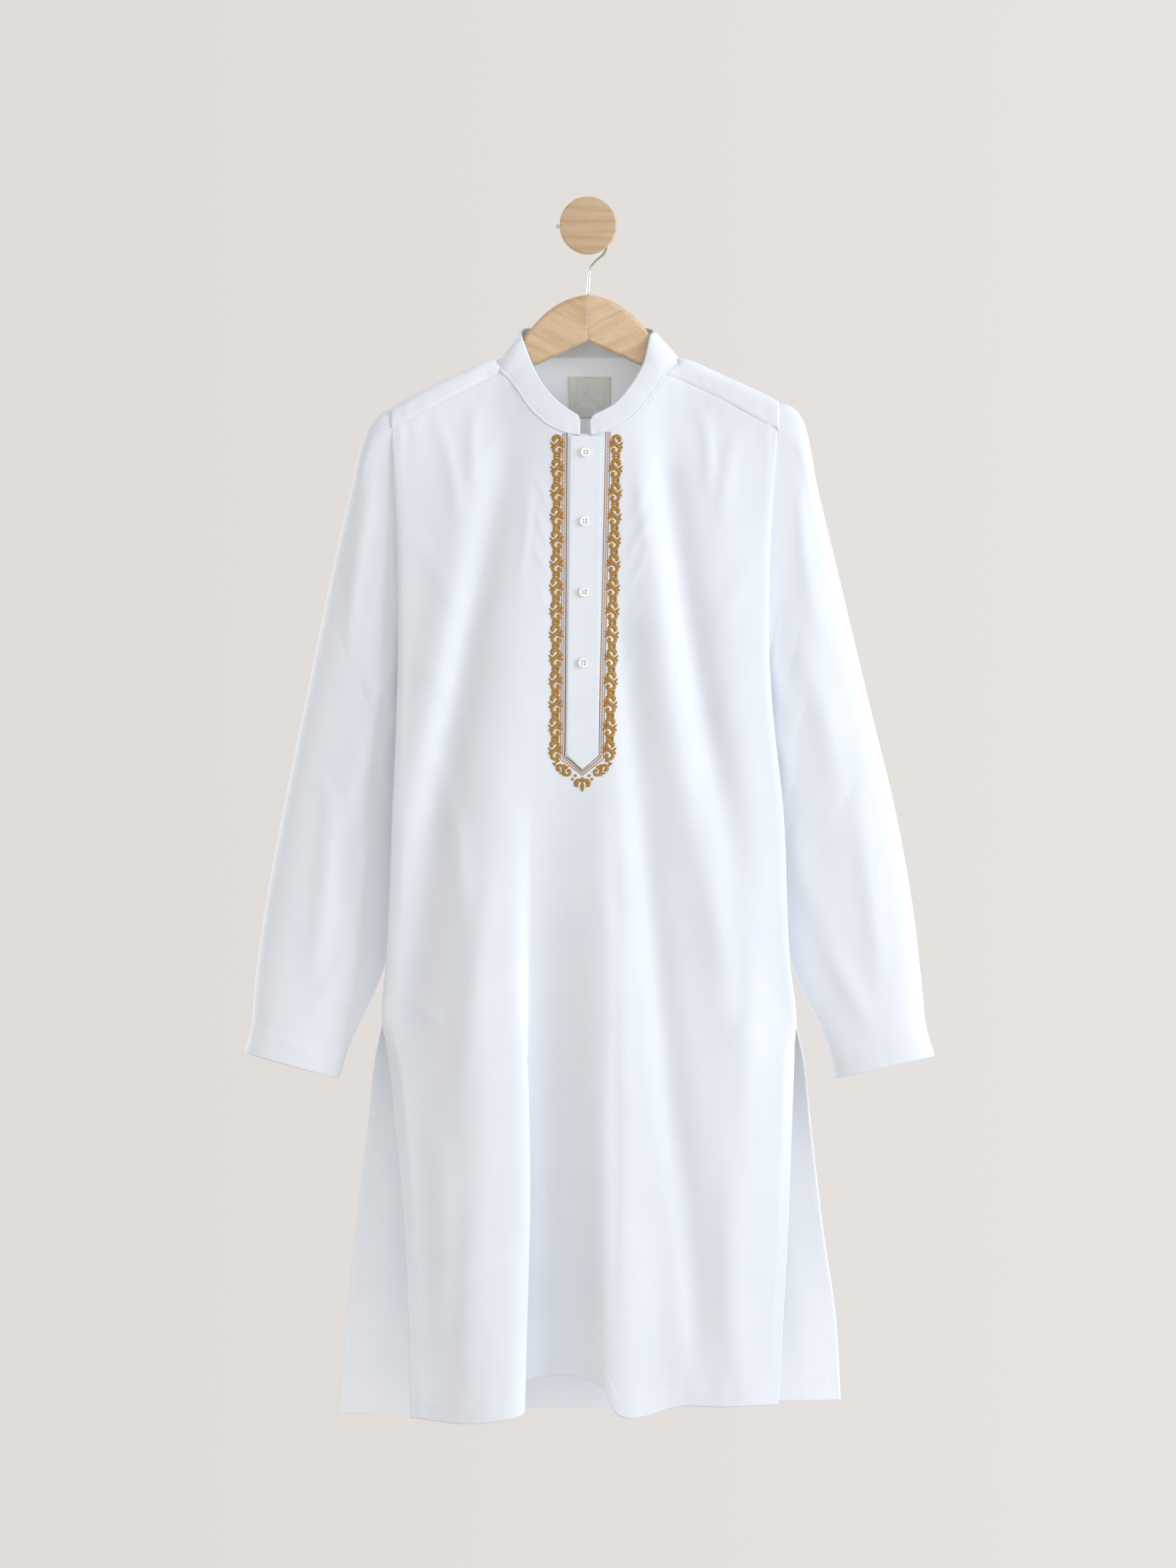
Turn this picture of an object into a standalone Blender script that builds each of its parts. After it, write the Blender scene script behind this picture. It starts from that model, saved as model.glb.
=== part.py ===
"""A kurta tunic hung on a wooden hanger, whose wire hook rests on a round wall peg.

The origin is the centre of the peg's flat back face, on the wall, which is the plane y = 0. +Z is up,
+X is to the right as the tunic is seen from the front, and the tunic hangs in front of the wall, at
negative y. Left and right are as seen from the front.

Sizes and tables are in millimetres, and MM turns them to metres as each mesh is made. "drop" is the
distance below the peg's axis, so z = -drop. Each cloth piece is one open sheet of points, to which a
Solidify modifier gives its wall. A table's column is read between its rows by smooth().
"""

import math
from collections import namedtuple

import bmesh
import bpy
import numpy as np

MM = 0.001

# ---------------------------------------------------------------------------------------- cloth
CLOTH_WALL = 1.2
SEAM_GAP = 0.3
YOKE_SEAM_GAP = 0.9
LAYER_GAP = 0.35
LEFT, RIGHT = -1, 1

YOKE_BACK_DROP = 228.0
ARMHOLE_FRONT_DROP = 200.0
UNDERARM_DROP = 470.0
SLIT_DROP = 787.0
BACK_HEM_DROP = 1187.0

# The front panel's fold line at each side, and how far towards the viewer the panel lies: at its
# centre, halfway to its side and at its side.
FrontRow = namedtuple("FrontRow", "drop left right centre_y middle_y side_y")
FRONT_ROWS = (
    FrontRow(130, 194, 187, -64, -46, -56),
    FrontRow(200, 194, 187, -71, -62, -62),
    FrontRow(300, 190, 181, -76, -72, -66),
    FrontRow(470, 188, 180.5, -80, -77, -69),
    FrontRow(580, 192, 191.5, -82, -80, -70),
    FrontRow(735, 199.5, 199.5, -85, -84, -71),
    FrontRow(787, 204, 206, -86, -85, -70),
    FrontRow(840, 196, 204, -87, -86, -73),
    FrontRow(900, 189, 201, -88, -87, -77),
    FrontRow(1000, 181, 197, -89, -88, -81),
    FrontRow(1090, 177, 192, -90, -89, -83),
    FrontRow(1187, 175, 187, -91, -90, -84),
)

# The armhole's front and back edges, from the yoke's ends down to the underarm.
ArmholeRow = namedtuple("ArmholeRow", "drop front_left front_right front_y back_left back_right back_y")
ARMHOLE_ROWS = (
    ArmholeRow(200, 193.5, 186.5, -61, 199, 193, -33),
    ArmholeRow(228, 192, 184.5, -60.5, 197, 191, -31),
    ArmholeRow(300, 189, 180, -59, 191, 184, -26),
    ArmholeRow(390, 186, 177.5, -56, 182, 174, -29),
    ArmholeRow(440, 179, 171, -53, 175, 167, -39),
    ArmholeRow(470, 171, 163.5, -49, 171, 163.5, -49),
)
# The side seam, from the underarm to the top of the side slit.
SeamRow = namedtuple("SeamRow", "drop left right y")
SEAM_ROWS = (
    SeamRow(470, 171, 163.5, -49),
    SeamRow(580, 172, 171.5, -46),
    SeamRow(700, 184, 184, -46),
    SeamRow(787, 203, 205, -52),
)
# The free edges of the front and back panels below the top of the slit.
SlitRow = namedtuple("SlitRow", "drop front_left front_right front_y back_left back_right back_y")
SLIT_ROWS = (
    SlitRow(787, 203, 205, -52, 203, 205, -52),
    SlitRow(825, 197.5, 204, -64, 212.5, 214.5, -34),
    SlitRow(900, 189, 201, -74, 221.5, 224, -18),
    SlitRow(1000, 181, 197, -80, 233.5, 236, -13),
    SlitRow(1090, 177, 192, -83, 242.5, 249, -11),
    SlitRow(1187, 175, 187, -84, 251.5, 254, -10),
)
# The back panel: how far it lies from the wall near its sides and along its middle.
BackRow = namedtuple("BackRow", "drop side_y middle_y")
BACK_ROWS = (
    BackRow(228, -25, -14),
    BackRow(300, -19, -12),
    BackRow(470, -19, -9),
    BackRow(735, -15, -7),
    BackRow(900, -11, -6),
    BackRow(1187, -9, -6),
)

# The front panel's top edge: the yoke seam, the two sides of the neckline and the yoke seam.
TopRow = namedtuple("TopRow", "x drop")
NECK_CORNER_LEFT, NECK_CORNER_RIGHT = -87.0, 78.0
COLLAR_END_LEFT, COLLAR_END_RIGHT = -7.5, 1.5
TOP_LEFT_SHOULDER = (TopRow(-194, 200), TopRow(-136, 169), TopRow(NECK_CORNER_LEFT, 143))
TOP_NECK = (
    TopRow(NECK_CORNER_LEFT, 143),
    TopRow(-77, 153),
    TopRow(-56, 183),
    TopRow(-36, 200),
    TopRow(-20, 206.5),
    TopRow(COLLAR_END_LEFT, 208.5),
    TopRow(COLLAR_END_RIGHT, 208.5),
    TopRow(18, 205),
    TopRow(38, 196),
    TopRow(52, 182),
    TopRow(68, 161),
    TopRow(NECK_CORNER_RIGHT, 145),
)
TOP_RIGHT_SHOULDER = (TopRow(NECK_CORNER_RIGHT, 145), TopRow(136, 173), TopRow(187, 202))

# The front hem, which lies higher in the deep middle fold and hangs lowest at the two lobes.
HEM_ROWS = (
    TopRow(-176, 1179),
    TopRow(-122, 1183),
    TopRow(-100, 1181.5),
    TopRow(-82, 1175),
    TopRow(-68, 1164),
    TopRow(-58, 1147),
    TopRow(-41, 1141),
    TopRow(-7, 1139.5),
    TopRow(9, 1145),
    TopRow(18, 1157),
    TopRow(30, 1173),
    TopRow(50, 1177),
    TopRow(67, 1173),
    TopRow(82, 1168.5),
    TopRow(131, 1167.5),
    TopRow(187, 1166),
)

# The front panel's large folds. Each follows a line through three places, stands proud by its depth
# (or lies back, where that is negative) and fades over its width to either side. A flatness of 4 gives
# a fold a flat floor and steep sides; 2 rounds it.
Fold = namedtuple(
    "Fold",
    "name x_top drop_top x_middle drop_middle x_low drop_low"
    " depth_top depth_middle depth_low left_width right_width flatness",
)
FRONT_FOLDS = (
    Fold("left_diagonal_crest", -92, 226, -134, 508, -186, 690, 2, 7, 3, 26, 17, 2),
    Fold("left_diagonal_valley", -66, 235, -118, 470, -164, 800, -3, -7, -3, 22, 26, 2),
    Fold("left_lobe", -50, 300, -66, 700, -84, 1187, 2, 8, 21, 60, 15, 2),
    Fold("middle_valley", -12, 560, -28, 860, -23, 1187, 0, -14, -36, 38, 38, 4),
    Fold("right_lobe", 34, 500, 48, 760, 47, 1187, 2, 8, 15, 20, 34, 2),
    Fold("right_diagonal_crest", 78, 226, 100, 470, 186, 790, 4, 9, 5, 20, 16, 2),
    Fold("right_upper_valley", 99, 262, 132, 480, 166, 620, -4, -7, -2, 20, 22, 2),
    Fold("right_long_valley", 50, 409, 80, 680, 116, 1060, -2, -6, -3, 24, 28, 2),
)
BACK_FOLDS = (
    Fold("back_left_fold", -60, 300, -92, 700, -110, 1187, 0, 5, 9, 26, 32, 2),
    Fold("back_middle_fold", 6, 330, 14, 760, 20, 1187, 0, 5, 8, 30, 26, 2),
    Fold("back_right_fold", 70, 300, 104, 700, 128, 1187, 0, 5, 9, 30, 26, 2),
)
FOLD_FADE = 70.0

# The cloth's ridge over the hanger's arms.
RidgeRow = namedtuple("RidgeRow", "x drop")
RIDGE_ROWS = (
    RidgeRow(87, 131),
    RidgeRow(95, 131),
    RidgeRow(107, 134.5),
    RidgeRow(128, 144.5),
    RidgeRow(151, 155.5),
    RidgeRow(175, 168),
    RidgeRow(199, 182),
)
ARMHOLE_TOP_LEFT, ARMHOLE_TOP_RIGHT = 197.0, 191.0

# The neck seam behind the two front corners, over the hanger and round the back, left to right.
NeckRow = namedtuple("NeckRow", "x y drop top_x top_y top_drop bulge")
NECK_BACK_ROWS = (
    NeckRow(-89.0, -43.5, 134.5, -65.5, -45.5, 109, 1.0),
    NeckRow(-87.5, -34.5, 130, -66.5, -37.5, 104, 1.0),
    NeckRow(-79, -24.5, 128, -63, -27, 98.5, 2.2),
    NeckRow(-60, -17, 126.5, -50, -20, 97, 1.0),
    NeckRow(-30, -13, 126, -27, -15.5, 96, 0.4),
    NeckRow(0, -12, 126, 0, -14.5, 96, 0.0),
    NeckRow(30, -13, 126, 27, -15.5, 96, 0.4),
    NeckRow(60, -17, 126.5, 50, -20, 97, 1.0),
    NeckRow(79, -24.5, 128, 62, -27, 98.5, 2.2),
    NeckRow(89.5, -34.5, 129, 65, -37.5, 103, 1.0),
    NeckRow(88, -43.5, 134, 61.5, -45.5, 107, 1.0),
)
# The collar band's front halves: how far its top edge stands in from the seam, up from it and back,
# and how far its middle swells.
BandRow = namedtuple("BandRow", "x inward up back bulge")
BAND_LEFT_ROWS = (
    BandRow(-87, 24, 27, 3, 1.5),
    BandRow(-80, 22, 20, 4, 1.5),
    BandRow(-70, 17.5, 20, 5, 1),
    BandRow(-56, 14.5, 21.5, 5, 0.8),
    BandRow(-36, 10.5, 22, 5, 0.7),
    BandRow(-20, 5, 21, 4.5, 0.4),
    BandRow(-12, 2.2, 19, 4, 0.2),
    BandRow(-8, 0.3, 13, 3, 0),
)
BAND_RIGHT_ROWS = (
    BandRow(78, 18, 31, 3, 1.5),
    BandRow(72, 16, 22.5, 4, 1.5),
    BandRow(62, 14.5, 19.5, 5, 1),
    BandRow(50, 12, 20.5, 5, 0.8),
    BandRow(36, 9, 21, 5, 0.7),
    BandRow(18, 4.5, 20.5, 4.5, 0.4),
    BandRow(8, 2.6, 19, 4, 0.2),
    BandRow(2, 0.3, 13, 3, 0),
)

# The sleeves: outer edge from the shoulder to the cuff, and inner edge from the underarm to the cuff.
EdgeRow = namedtuple("EdgeRow", "x drop")
SLEEVE_OUTER = {
    LEFT: (
        EdgeRow(198, 183),
        EdgeRow(209, 190.5),
        EdgeRow(216.5, 199),
        EdgeRow(223.5, 214),
        EdgeRow(234, 254),
        EdgeRow(253.5, 338),
        EdgeRow(280, 465),
        EdgeRow(306, 592),
        EdgeRow(321.5, 677),
        EdgeRow(331.5, 748),
        EdgeRow(336.5, 800),
        EdgeRow(342.5, 822),
    ),
    RIGHT: (
        EdgeRow(192, 177),
        EdgeRow(206.5, 184.5),
        EdgeRow(213.5, 194),
        EdgeRow(218, 208),
        EdgeRow(227, 254),
        EdgeRow(247.5, 338),
        EdgeRow(278, 465),
        EdgeRow(308.5, 592),
        EdgeRow(323.5, 677),
        EdgeRow(332, 748),
        EdgeRow(338, 800),
        EdgeRow(345.5, 825),
    ),
}
SLEEVE_INNER = {
    LEFT: (
        EdgeRow(175, 470),
        EdgeRow(182, 600),
        EdgeRow(193, 695),
        EdgeRow(204, 737),
        EdgeRow(242.5, 826),
        EdgeRow(249, 847.5),
    ),
    RIGHT: (
        EdgeRow(168, 470),
        EdgeRow(180, 600),
        EdgeRow(192, 690),
        EdgeRow(203, 732),
        EdgeRow(243, 826),
        EdgeRow(248, 847.5),
    ),
}
# Along the sleeve: how far its middle lies from the wall, half its depth, how squarely its front and
# back turn to its edges (a small number is squarer), and how much it thins to its inner edge.
SleeveRow = namedtuple("SleeveRow", "share middle_y half_depth squareness narrowing")
SLEEVE_ROWS = (
    SleeveRow(0.0, -49, 13, 0.45, 0.75),
    SleeveRow(0.06, -47.5, 14, 0.5, 0.65),
    SleeveRow(0.15, -43, 18, 0.7, 0.45),
    SleeveRow(0.3, -38, 21, 0.85, 0.25),
    SleeveRow(0.6, -36, 21.5, 0.85, 0.25),
    SleeveRow(1.0, -35, 18, 0.85, 0.25),
)
SLEEVE_SHARES = np.concatenate([[0, 0.014, 0.035, 0.065, 0.105], np.linspace(0.16, 1, 12)])
SLEEVE_SIDES = 22
ARMHOLE_BLEND_SHARE = 0.2
ARMHOLE_SEAM, UNDERARM_SETBACK = 2.0, 1.0
# The gap between a sleeve's front and back halves, and the most that an edge is drawn in for it.
HALVES_GAP, HALVES_MOST = 0.36, 4.0

# The placket strip, its point and the buttons.
PLACKET_WIDTH = 31.5
PLACKET_TOP_DROP, PLACKET_TURN_DROP, PLACKET_TIP_DROP = 209.5, 527.0, 543.5
PLACKET_TOP_X, PLACKET_LEAN = -1.8, -0.0114
PLACKET_WALL = 1.0
BUTTON_DROPS = (226.0, 294.5, 364.5, 434.5)
BUTTON_DIAMETER, BUTTON_THICKNESS = 9.6, 2.4
BUTTON_RIM, BUTTON_DISH = 1.3, 0.6
BUTTON_HOLE_DIAMETER, BUTTON_HOLE_SPACING = 1.4, 2.6
BUTTON_SIDES = 16

LABEL_X, LABEL_WIDTH, LABEL_TOP_DROP, LABEL_HEIGHT, LABEL_WALL = 1.8, 42.0, 145.2, 41.5, 0.8

# ------------------------------------------------------------------------------ hanger and peg
HANGER_Y = -36.0
HANGER_FORWARD = 16.0
HANGER_HALF = 206.5
HangerRow = namedtuple("HangerRow", "x top bottom thickness")
HANGER_ROWS = (
    HangerRow(0.0, 66, 112.5, 13),
    HangerRow(14, 68, 118.5, 13),
    HangerRow(27, 73.5, 124.5, 13),
    HangerRow(38, 80.5, 129.5, 13),
    HangerRow(48, 89.5, 134, 13),
    HangerRow(57, 99.5, 138, 13),
    HangerRow(67, 113, 142.5, 13),
    HangerRow(77, 130, 148, 13.5),
    HangerRow(88, 142.5, 154, 13),
    HangerRow(100, 144, 159, 14),
    HangerRow(136, 151.4, 174, 14.5),
    HangerRow(175, 170.8, 190, 14.5),
    HangerRow(197, 188.5, 200.5, 12),
    HangerRow(204, 196.5, 203, 8.5),
)
HANGER_CHAMFER, HANGER_EASE = 4.6, 3.0
MITRE_GAP = 0.3

WIRE_DIAMETER = 3.0
HOOK_ARC_X, HOOK_ARC_DROP, HOOK_ARC_RADIUS = -2.0, 11.5, 22.5
HOOK_ARC_START, HOOK_ARC_END = -49.0, 127.0
HOOK_FLARE_RADIUS = 20.0
HOOK_ARC_STEPS, HOOK_FLARE_STEPS = 22, 4
# The shank below the arc: from the wood up to the slant that carries it to the arc.
ShankRow = namedtuple("ShankRow", "x drop")
SHANK_ROWS = (
    ShankRow(0, 65.6),
    ShankRow(0.5, 56),
    ShankRow(1.2, 46),
    ShankRow(2.0, 39.5),
    ShankRow(4.6, 35.6),
    ShankRow(8.6, 31.6),
)
TIP_DIAMETER, TIP_LENGTH = 4.6, 5.0

PEG_STEM_DIAMETER, PEG_STEM_LENGTH = 18.0, 54.0
PEG_DISC_DIAMETER, PEG_DISC_THICKNESS, PEG_DISC_EDGE = 56.5, 12.0, 1.4
PEG_SIDES = 40

COTTON = ("cotton", (0.86, 0.87, 0.9, 1.0), 0.8, 0.0)
LABEL_CLOTH = ("label_cloth", (0.58, 0.61, 0.58, 1.0), 0.7, 0.0)
PEARL = ("pearl_button", (0.88, 0.87, 0.84, 1.0), 0.25, 0.0)
BEECH = ("beech", (0.72, 0.5, 0.29, 1.0), 0.5, 0.0)
NICKEL = ("nickel", (0.7, 0.69, 0.67, 1.0), 0.25, 1.0)


# ------------------------------------------------------------------------------------- helpers
def smooth(at, places, values):
    """Read a smooth curve through the given stations, level past its two ends."""
    places, values = np.asarray(places, float), np.asarray(values, float)
    at = np.clip(np.asarray(at, float), places[0], places[-1])
    slopes = np.gradient(values, places)
    k = np.clip(np.searchsorted(places, at, side="right") - 1, 0, len(places) - 2)
    span = places[k + 1] - places[k]
    t = (at - places[k]) / span
    rise = (1 + 2 * t) * (1 - t) ** 2 * values[k] + t * t * (3 - 2 * t) * values[k + 1]
    return rise + span * (t * (1 - t) ** 2 * slopes[k] - t * t * (1 - t) * slopes[k + 1])


def column(rows, name):
    """One column of a table, as a list."""
    return [getattr(row, name) for row in rows]


def read(rows, name, at, along="drop"):
    """Read a table's column at a place between its rows."""
    return smooth(at, column(rows, along), column(rows, name))


def side_name(prefix, side):
    """A table's column name for one side."""
    return f"{prefix}left" if side == LEFT else f"{prefix}right"


def along_path(points, shares):
    """Points at the given shares of a path's length, on a smooth curve through its points."""
    points = np.asarray(points, float)
    steps = np.linalg.norm(np.diff(points, axis=0), axis=1)
    lengths = np.concatenate([[0.0], np.cumsum(steps)])
    at = np.asarray(shares, float) * lengths[-1]
    return np.stack([smooth(at, lengths, points[:, axis]) for axis in range(3)], axis=-1)


def finish(obj, look):
    """Give an object its material."""
    name, colour, roughness, metallic = look
    material = bpy.data.materials.get(name)
    if material is None:
        material = bpy.data.materials.new(name)
        material.use_nodes = True
        shader = material.node_tree.nodes["Principled BSDF"]
        shader.inputs["Base Color"].default_value = colour
        shader.inputs["Roughness"].default_value = roughness
        shader.inputs["Metallic"].default_value = metallic
        material.diffuse_color = colour
    obj.data.materials.append(material)
    return obj


def mesh_object(name, points, faces, look):
    """Make one object from points in millimetres and faces, which are turned to face outwards."""
    mesh = bpy.data.meshes.new(name)
    mesh.from_pydata([tuple(np.asarray(p, float) * MM) for p in points], [], faces)
    shape = bmesh.new()
    shape.from_mesh(mesh)
    bmesh.ops.recalc_face_normals(shape, faces=shape.faces)
    shape.to_mesh(mesh)
    shape.free()
    mesh.shade_smooth()
    obj = bpy.data.objects.new(name, mesh)
    bpy.context.scene.collection.objects.link(obj)
    return finish(obj, look)


def grid_faces(rows, columns):
    """The quads of a grid of rows and columns."""
    faces = []
    for r in range(rows - 1):
        for c in range(columns - 1):
            low, high = r * columns + c, (r + 1) * columns + c
            faces.append((low, low + 1, high + 1, high))
    return faces


def cloth(name, grid, look=COTTON, wall=CLOTH_WALL):
    """Make a sheet of cloth from a grid of points, with a wall centred on them."""
    grid = np.asarray(grid, float)
    rows, columns = grid.shape[:2]
    obj = mesh_object(name, grid.reshape(-1, 3), grid_faces(rows, columns), look)
    wall_modifier = obj.modifiers.new("wall", "SOLIDIFY")
    wall_modifier.thickness = wall * MM
    wall_modifier.offset = 0.0
    return obj


def turned(name, profile, centre, sides, look):
    """Turn a closed profile of (radius, y) pairs about the line through centre along Y."""
    points, rings = [], []
    for radius, y in profile:
        if radius == 0:
            rings.append([len(points)])
            points.append((centre[0], y, centre[1]))
            continue
        rings.append(list(range(len(points), len(points) + sides)))
        for k in range(sides):
            angle = 2 * math.pi * k / sides
            points.append((centre[0] + radius * math.cos(angle), y, centre[1] + radius * math.sin(angle)))
    faces = []
    for low, high in zip(rings, rings[1:]):
        for k in range(sides):
            n = (k + 1) % sides
            if len(low) == 1:
                faces.append((low[0], high[k], high[n]))
            elif len(high) == 1:
                faces.append((low[k], high[0], low[n]))
            else:
                faces.append((low[k], high[k], high[n], low[n]))
    return mesh_object(name, points, faces, look)


# ---------------------------------------------------------------------------------- the surfaces
def fold_offset(folds, x, drop):
    """How far the folds bring the cloth towards the viewer at a place."""
    total = np.zeros(np.broadcast(x, drop).shape)
    for f in folds:
        drops = (f.drop_top, f.drop_middle, f.drop_low)
        line = smooth(drop, drops, (f.x_top, f.x_middle, f.x_low))
        depth = smooth(drop, drops, (f.depth_top, f.depth_middle, f.depth_low))
        above = np.clip((f.drop_top - drop) / FOLD_FADE, 0, 1)
        below = np.clip((drop - f.drop_low) / FOLD_FADE, 0, 1)
        across = x - line
        width = np.where(across < 0, f.left_width, f.right_width)
        shape = np.exp(-(np.abs(across / width) ** f.flatness))
        total = total + depth * shape * (1 - above) ** 2 * (1 - below) ** 2
    return total


def front_fold_x(side, drop):
    """Where the front panel's fold line lies at one side."""
    return side * read(FRONT_ROWS, side_name("", side), drop)


def front_y(x, drop):
    """Where the front panel lies, before it rolls back at its sides."""
    x, drop = np.broadcast_arrays(np.asarray(x, float), np.asarray(drop, float))
    half = np.where(x < 0, read(FRONT_ROWS, "left", drop), read(FRONT_ROWS, "right", drop))
    across = np.abs(x) / half
    centre, middle, side = (read(FRONT_ROWS, n, drop) for n in ("centre_y", "middle_y", "side_y"))
    near = smooth(across, (0, 0.1, 0.45, 1), (0, 0, 1, 1))
    far = smooth(across, (0, 0.45, 1), (0, 0, 1))
    base = centre + (middle - centre) * near + (side - middle) * far
    return base - fold_offset(FRONT_FOLDS, x, drop)


def side_edge(panel, side, drop):
    """The x and y of a panel's side edge: armhole, then side seam, then the slit's free edge."""
    if drop < UNDERARM_DROP:
        rows, prefix = ARMHOLE_ROWS, f"{panel}_"
    elif drop < SLIT_DROP:
        rows, prefix = SEAM_ROWS, ""
    else:
        rows, prefix = SLIT_ROWS, f"{panel}_"
    return side * read(rows, side_name(prefix, side), drop), read(rows, f"{prefix}y", drop)


SIDE_MARGIN = 10.0
ROLL_DEPTH, ROLL_START = 6.0, 120.0
FREE_EDGE_BLEND = 60.0
SIDE_STATIONS = (0.5, 1.0, 1.5, 2.0, 2.5, 3.0)


def front_side_points(side, drop):
    """The points that take the front panel from its face round its fold and back to its side edge."""
    fold_x = float(front_fold_x(side, drop))
    edge_x, edge_y = side_edge("front", side, drop)
    start_x = fold_x - side * SIDE_MARGIN
    start_y = float(front_y(start_x, drop))
    roll = ROLL_DEPTH * float(np.clip((drop - ARMHOLE_FRONT_DROP) / ROLL_START, 0, 1))
    rolled = (
        (start_x, start_y),
        (fold_x - side * 2.0, start_y + roll / 3),
        (fold_x, start_y + roll),
        (edge_x, edge_y),
    )
    flat = [
        (start_x + (edge_x - start_x) * k / 3, start_y + (edge_y - start_y) * k / 3) for k in range(4)
    ]
    free = float(np.clip((drop - SLIT_DROP) / FREE_EDGE_BLEND, 0, 1))
    places = [
        (r[0] + (f[0] - r[0]) * free, r[1] + (f[1] - r[1]) * free) for r, f in zip(rolled, flat)
    ]
    at = np.array(SIDE_STATIONS)
    xs = smooth(at, range(4), [p[0] for p in places])
    ys = smooth(at, range(4), [p[1] for p in places])
    return [(x, y, -drop) for x, y in zip(xs, ys)]


def top_drop(x):
    """The drop of the front panel's top edge."""
    if x <= NECK_CORNER_LEFT:
        rows = TOP_LEFT_SHOULDER
    elif x < NECK_CORNER_RIGHT:
        rows = TOP_NECK
    else:
        rows = TOP_RIGHT_SHOULDER
    return float(read(rows, "drop", x, along="x"))


def hem_drop(x):
    """The drop of the front hem."""
    return float(read(HEM_ROWS, "drop", x, along="x"))


# The front panel's columns at its top edge, as runs of even spacing between named places.
FRONT_RUNS = (
    (-184.0, NECK_CORNER_LEFT, 9),
    (NECK_CORNER_LEFT, COLLAR_END_LEFT, 8),
    (COLLAR_END_LEFT, COLLAR_END_RIGHT, 1),
    (COLLAR_END_RIGHT, NECK_CORNER_RIGHT, 8),
    (NECK_CORNER_RIGHT, 177.0, 9),
)
FRONT_ROW_SHARES = np.concatenate([np.linspace(0, 0.9, 21), np.linspace(0.9, 1, 5)[1:]])


def front_panel():
    """The front, from the yoke seams and neckline to the hem, with its rolled sides."""
    places = [FRONT_RUNS[0][0]]
    for start, end, count in FRONT_RUNS:
        places += list(np.linspace(start, end, count + 1)[1:])
    top_half = {LEFT: float(-front_fold_x(LEFT, 200)), RIGHT: float(front_fold_x(RIGHT, 200))}
    hem_half = {LEFT: float(-front_fold_x(LEFT, 1180)), RIGHT: float(front_fold_x(RIGHT, 1180))}
    grid = []
    for share in FRONT_ROW_SHARES:
        row = []
        for x_top in places:
            side = LEFT if x_top < 0 else RIGHT
            across = abs(x_top) / (top_half[side] - SIDE_MARGIN)
            x_hem = side * across * (hem_half[side] - SIDE_MARGIN)
            seam = SEAM_GAP if NECK_CORNER_LEFT + 6 < x_top < NECK_CORNER_RIGHT - 6 else YOKE_SEAM_GAP
            top, hem = top_drop(x_top) + seam, hem_drop(x_hem)
            drop = top + (hem - top) * share
            x = side * across * (abs(float(front_fold_x(side, drop))) - SIDE_MARGIN)
            row.append((x, float(front_y(x, drop)), -drop))
        ends = {}
        for side, inner in ((LEFT, row[0]), (RIGHT, row[-1])):
            edge_top = top_drop(side * top_half[side]) + YOKE_SEAM_GAP
            edge_hem = hem_drop(side * hem_half[side])
            edge_drop = edge_top + (edge_hem - edge_top) * share
            points = front_side_points(side, edge_drop)
            reach = np.maximum.accumulate([abs(p[0] - inner[0]) for p in points])
            shift = -inner[2] - edge_drop
            ends[side] = [(p[0], p[1], p[2] - shift * (1 - r / reach[-1])) for p, r in zip(points, reach)]
        grid.append(ends[LEFT][::-1] + row + ends[RIGHT])
    return cloth("front", grid)


def back_y(across, x, drop, edge_y):
    """Where the back panel lies at a share of the way from its middle to its side edge."""
    side = float(read(BACK_ROWS, "side_y", drop))
    middle = float(read(BACK_ROWS, "middle_y", drop))
    base = middle + (side - middle) * np.clip((np.abs(across) - 0.35) / 0.5, 0, 1) ** 2
    base = base + (edge_y - side) * np.clip((np.abs(across) - 0.78) / 0.22, 0, 1) ** 2
    fade = np.clip((1 - np.abs(across)) / 0.2, 0, 1)
    return base - fold_offset(BACK_FOLDS, x, drop) * fade


BACK_COLUMNS = 25
BACK_DROPS = (228, 262, 300, 345, 390, 430, 458, 480, 530, 590, 650, 710, 755, 785, 810, 850, 910, 980, 1050, 1120)


def back_panel():
    """The back, from the yoke's back seam to the hem."""
    drops = list(BACK_DROPS) + [BACK_HEM_DROP]
    grid = []
    for drop in drops:
        left, right = side_edge("back", LEFT, drop), side_edge("back", RIGHT, drop)
        row = []
        for across in np.linspace(-1, 1, BACK_COLUMNS):
            eased = math.copysign(1 - (1 - abs(across)) ** 1.15, across)
            edge = left if eased < 0 else right
            inset = SEAM_GAP * 3.5 if UNDERARM_DROP - 30 < drop < SLIT_DROP + 30 else 0
            x = abs(eased) * (abs(edge[0]) - inset) * (LEFT if eased < 0 else RIGHT)
            lowered = 0.5 if drop == YOKE_BACK_DROP else 0
            tilt = (1173 - BACK_HEM_DROP) * (x + 251) / 505 if drop == BACK_HEM_DROP else 0
            y = back_y(eased, x, drop, edge[1] + inset)
            row.append((x, float(y), -(drop + lowered + tilt)))
        grid.append(row)
    return cloth("back", grid)


# ------------------------------------------------------------------------------ yoke and collar
def hanger_y(x):
    """The hanger's middle plane, which curves forward to its ends."""
    return HANGER_Y - HANGER_FORWARD * (abs(x) / HANGER_HALF) ** 2


def hanger_half_depth(x):
    """Half the hanger's thickness at x."""
    return float(read(HANGER_ROWS, "thickness", abs(x), along="x")) / 2


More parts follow.
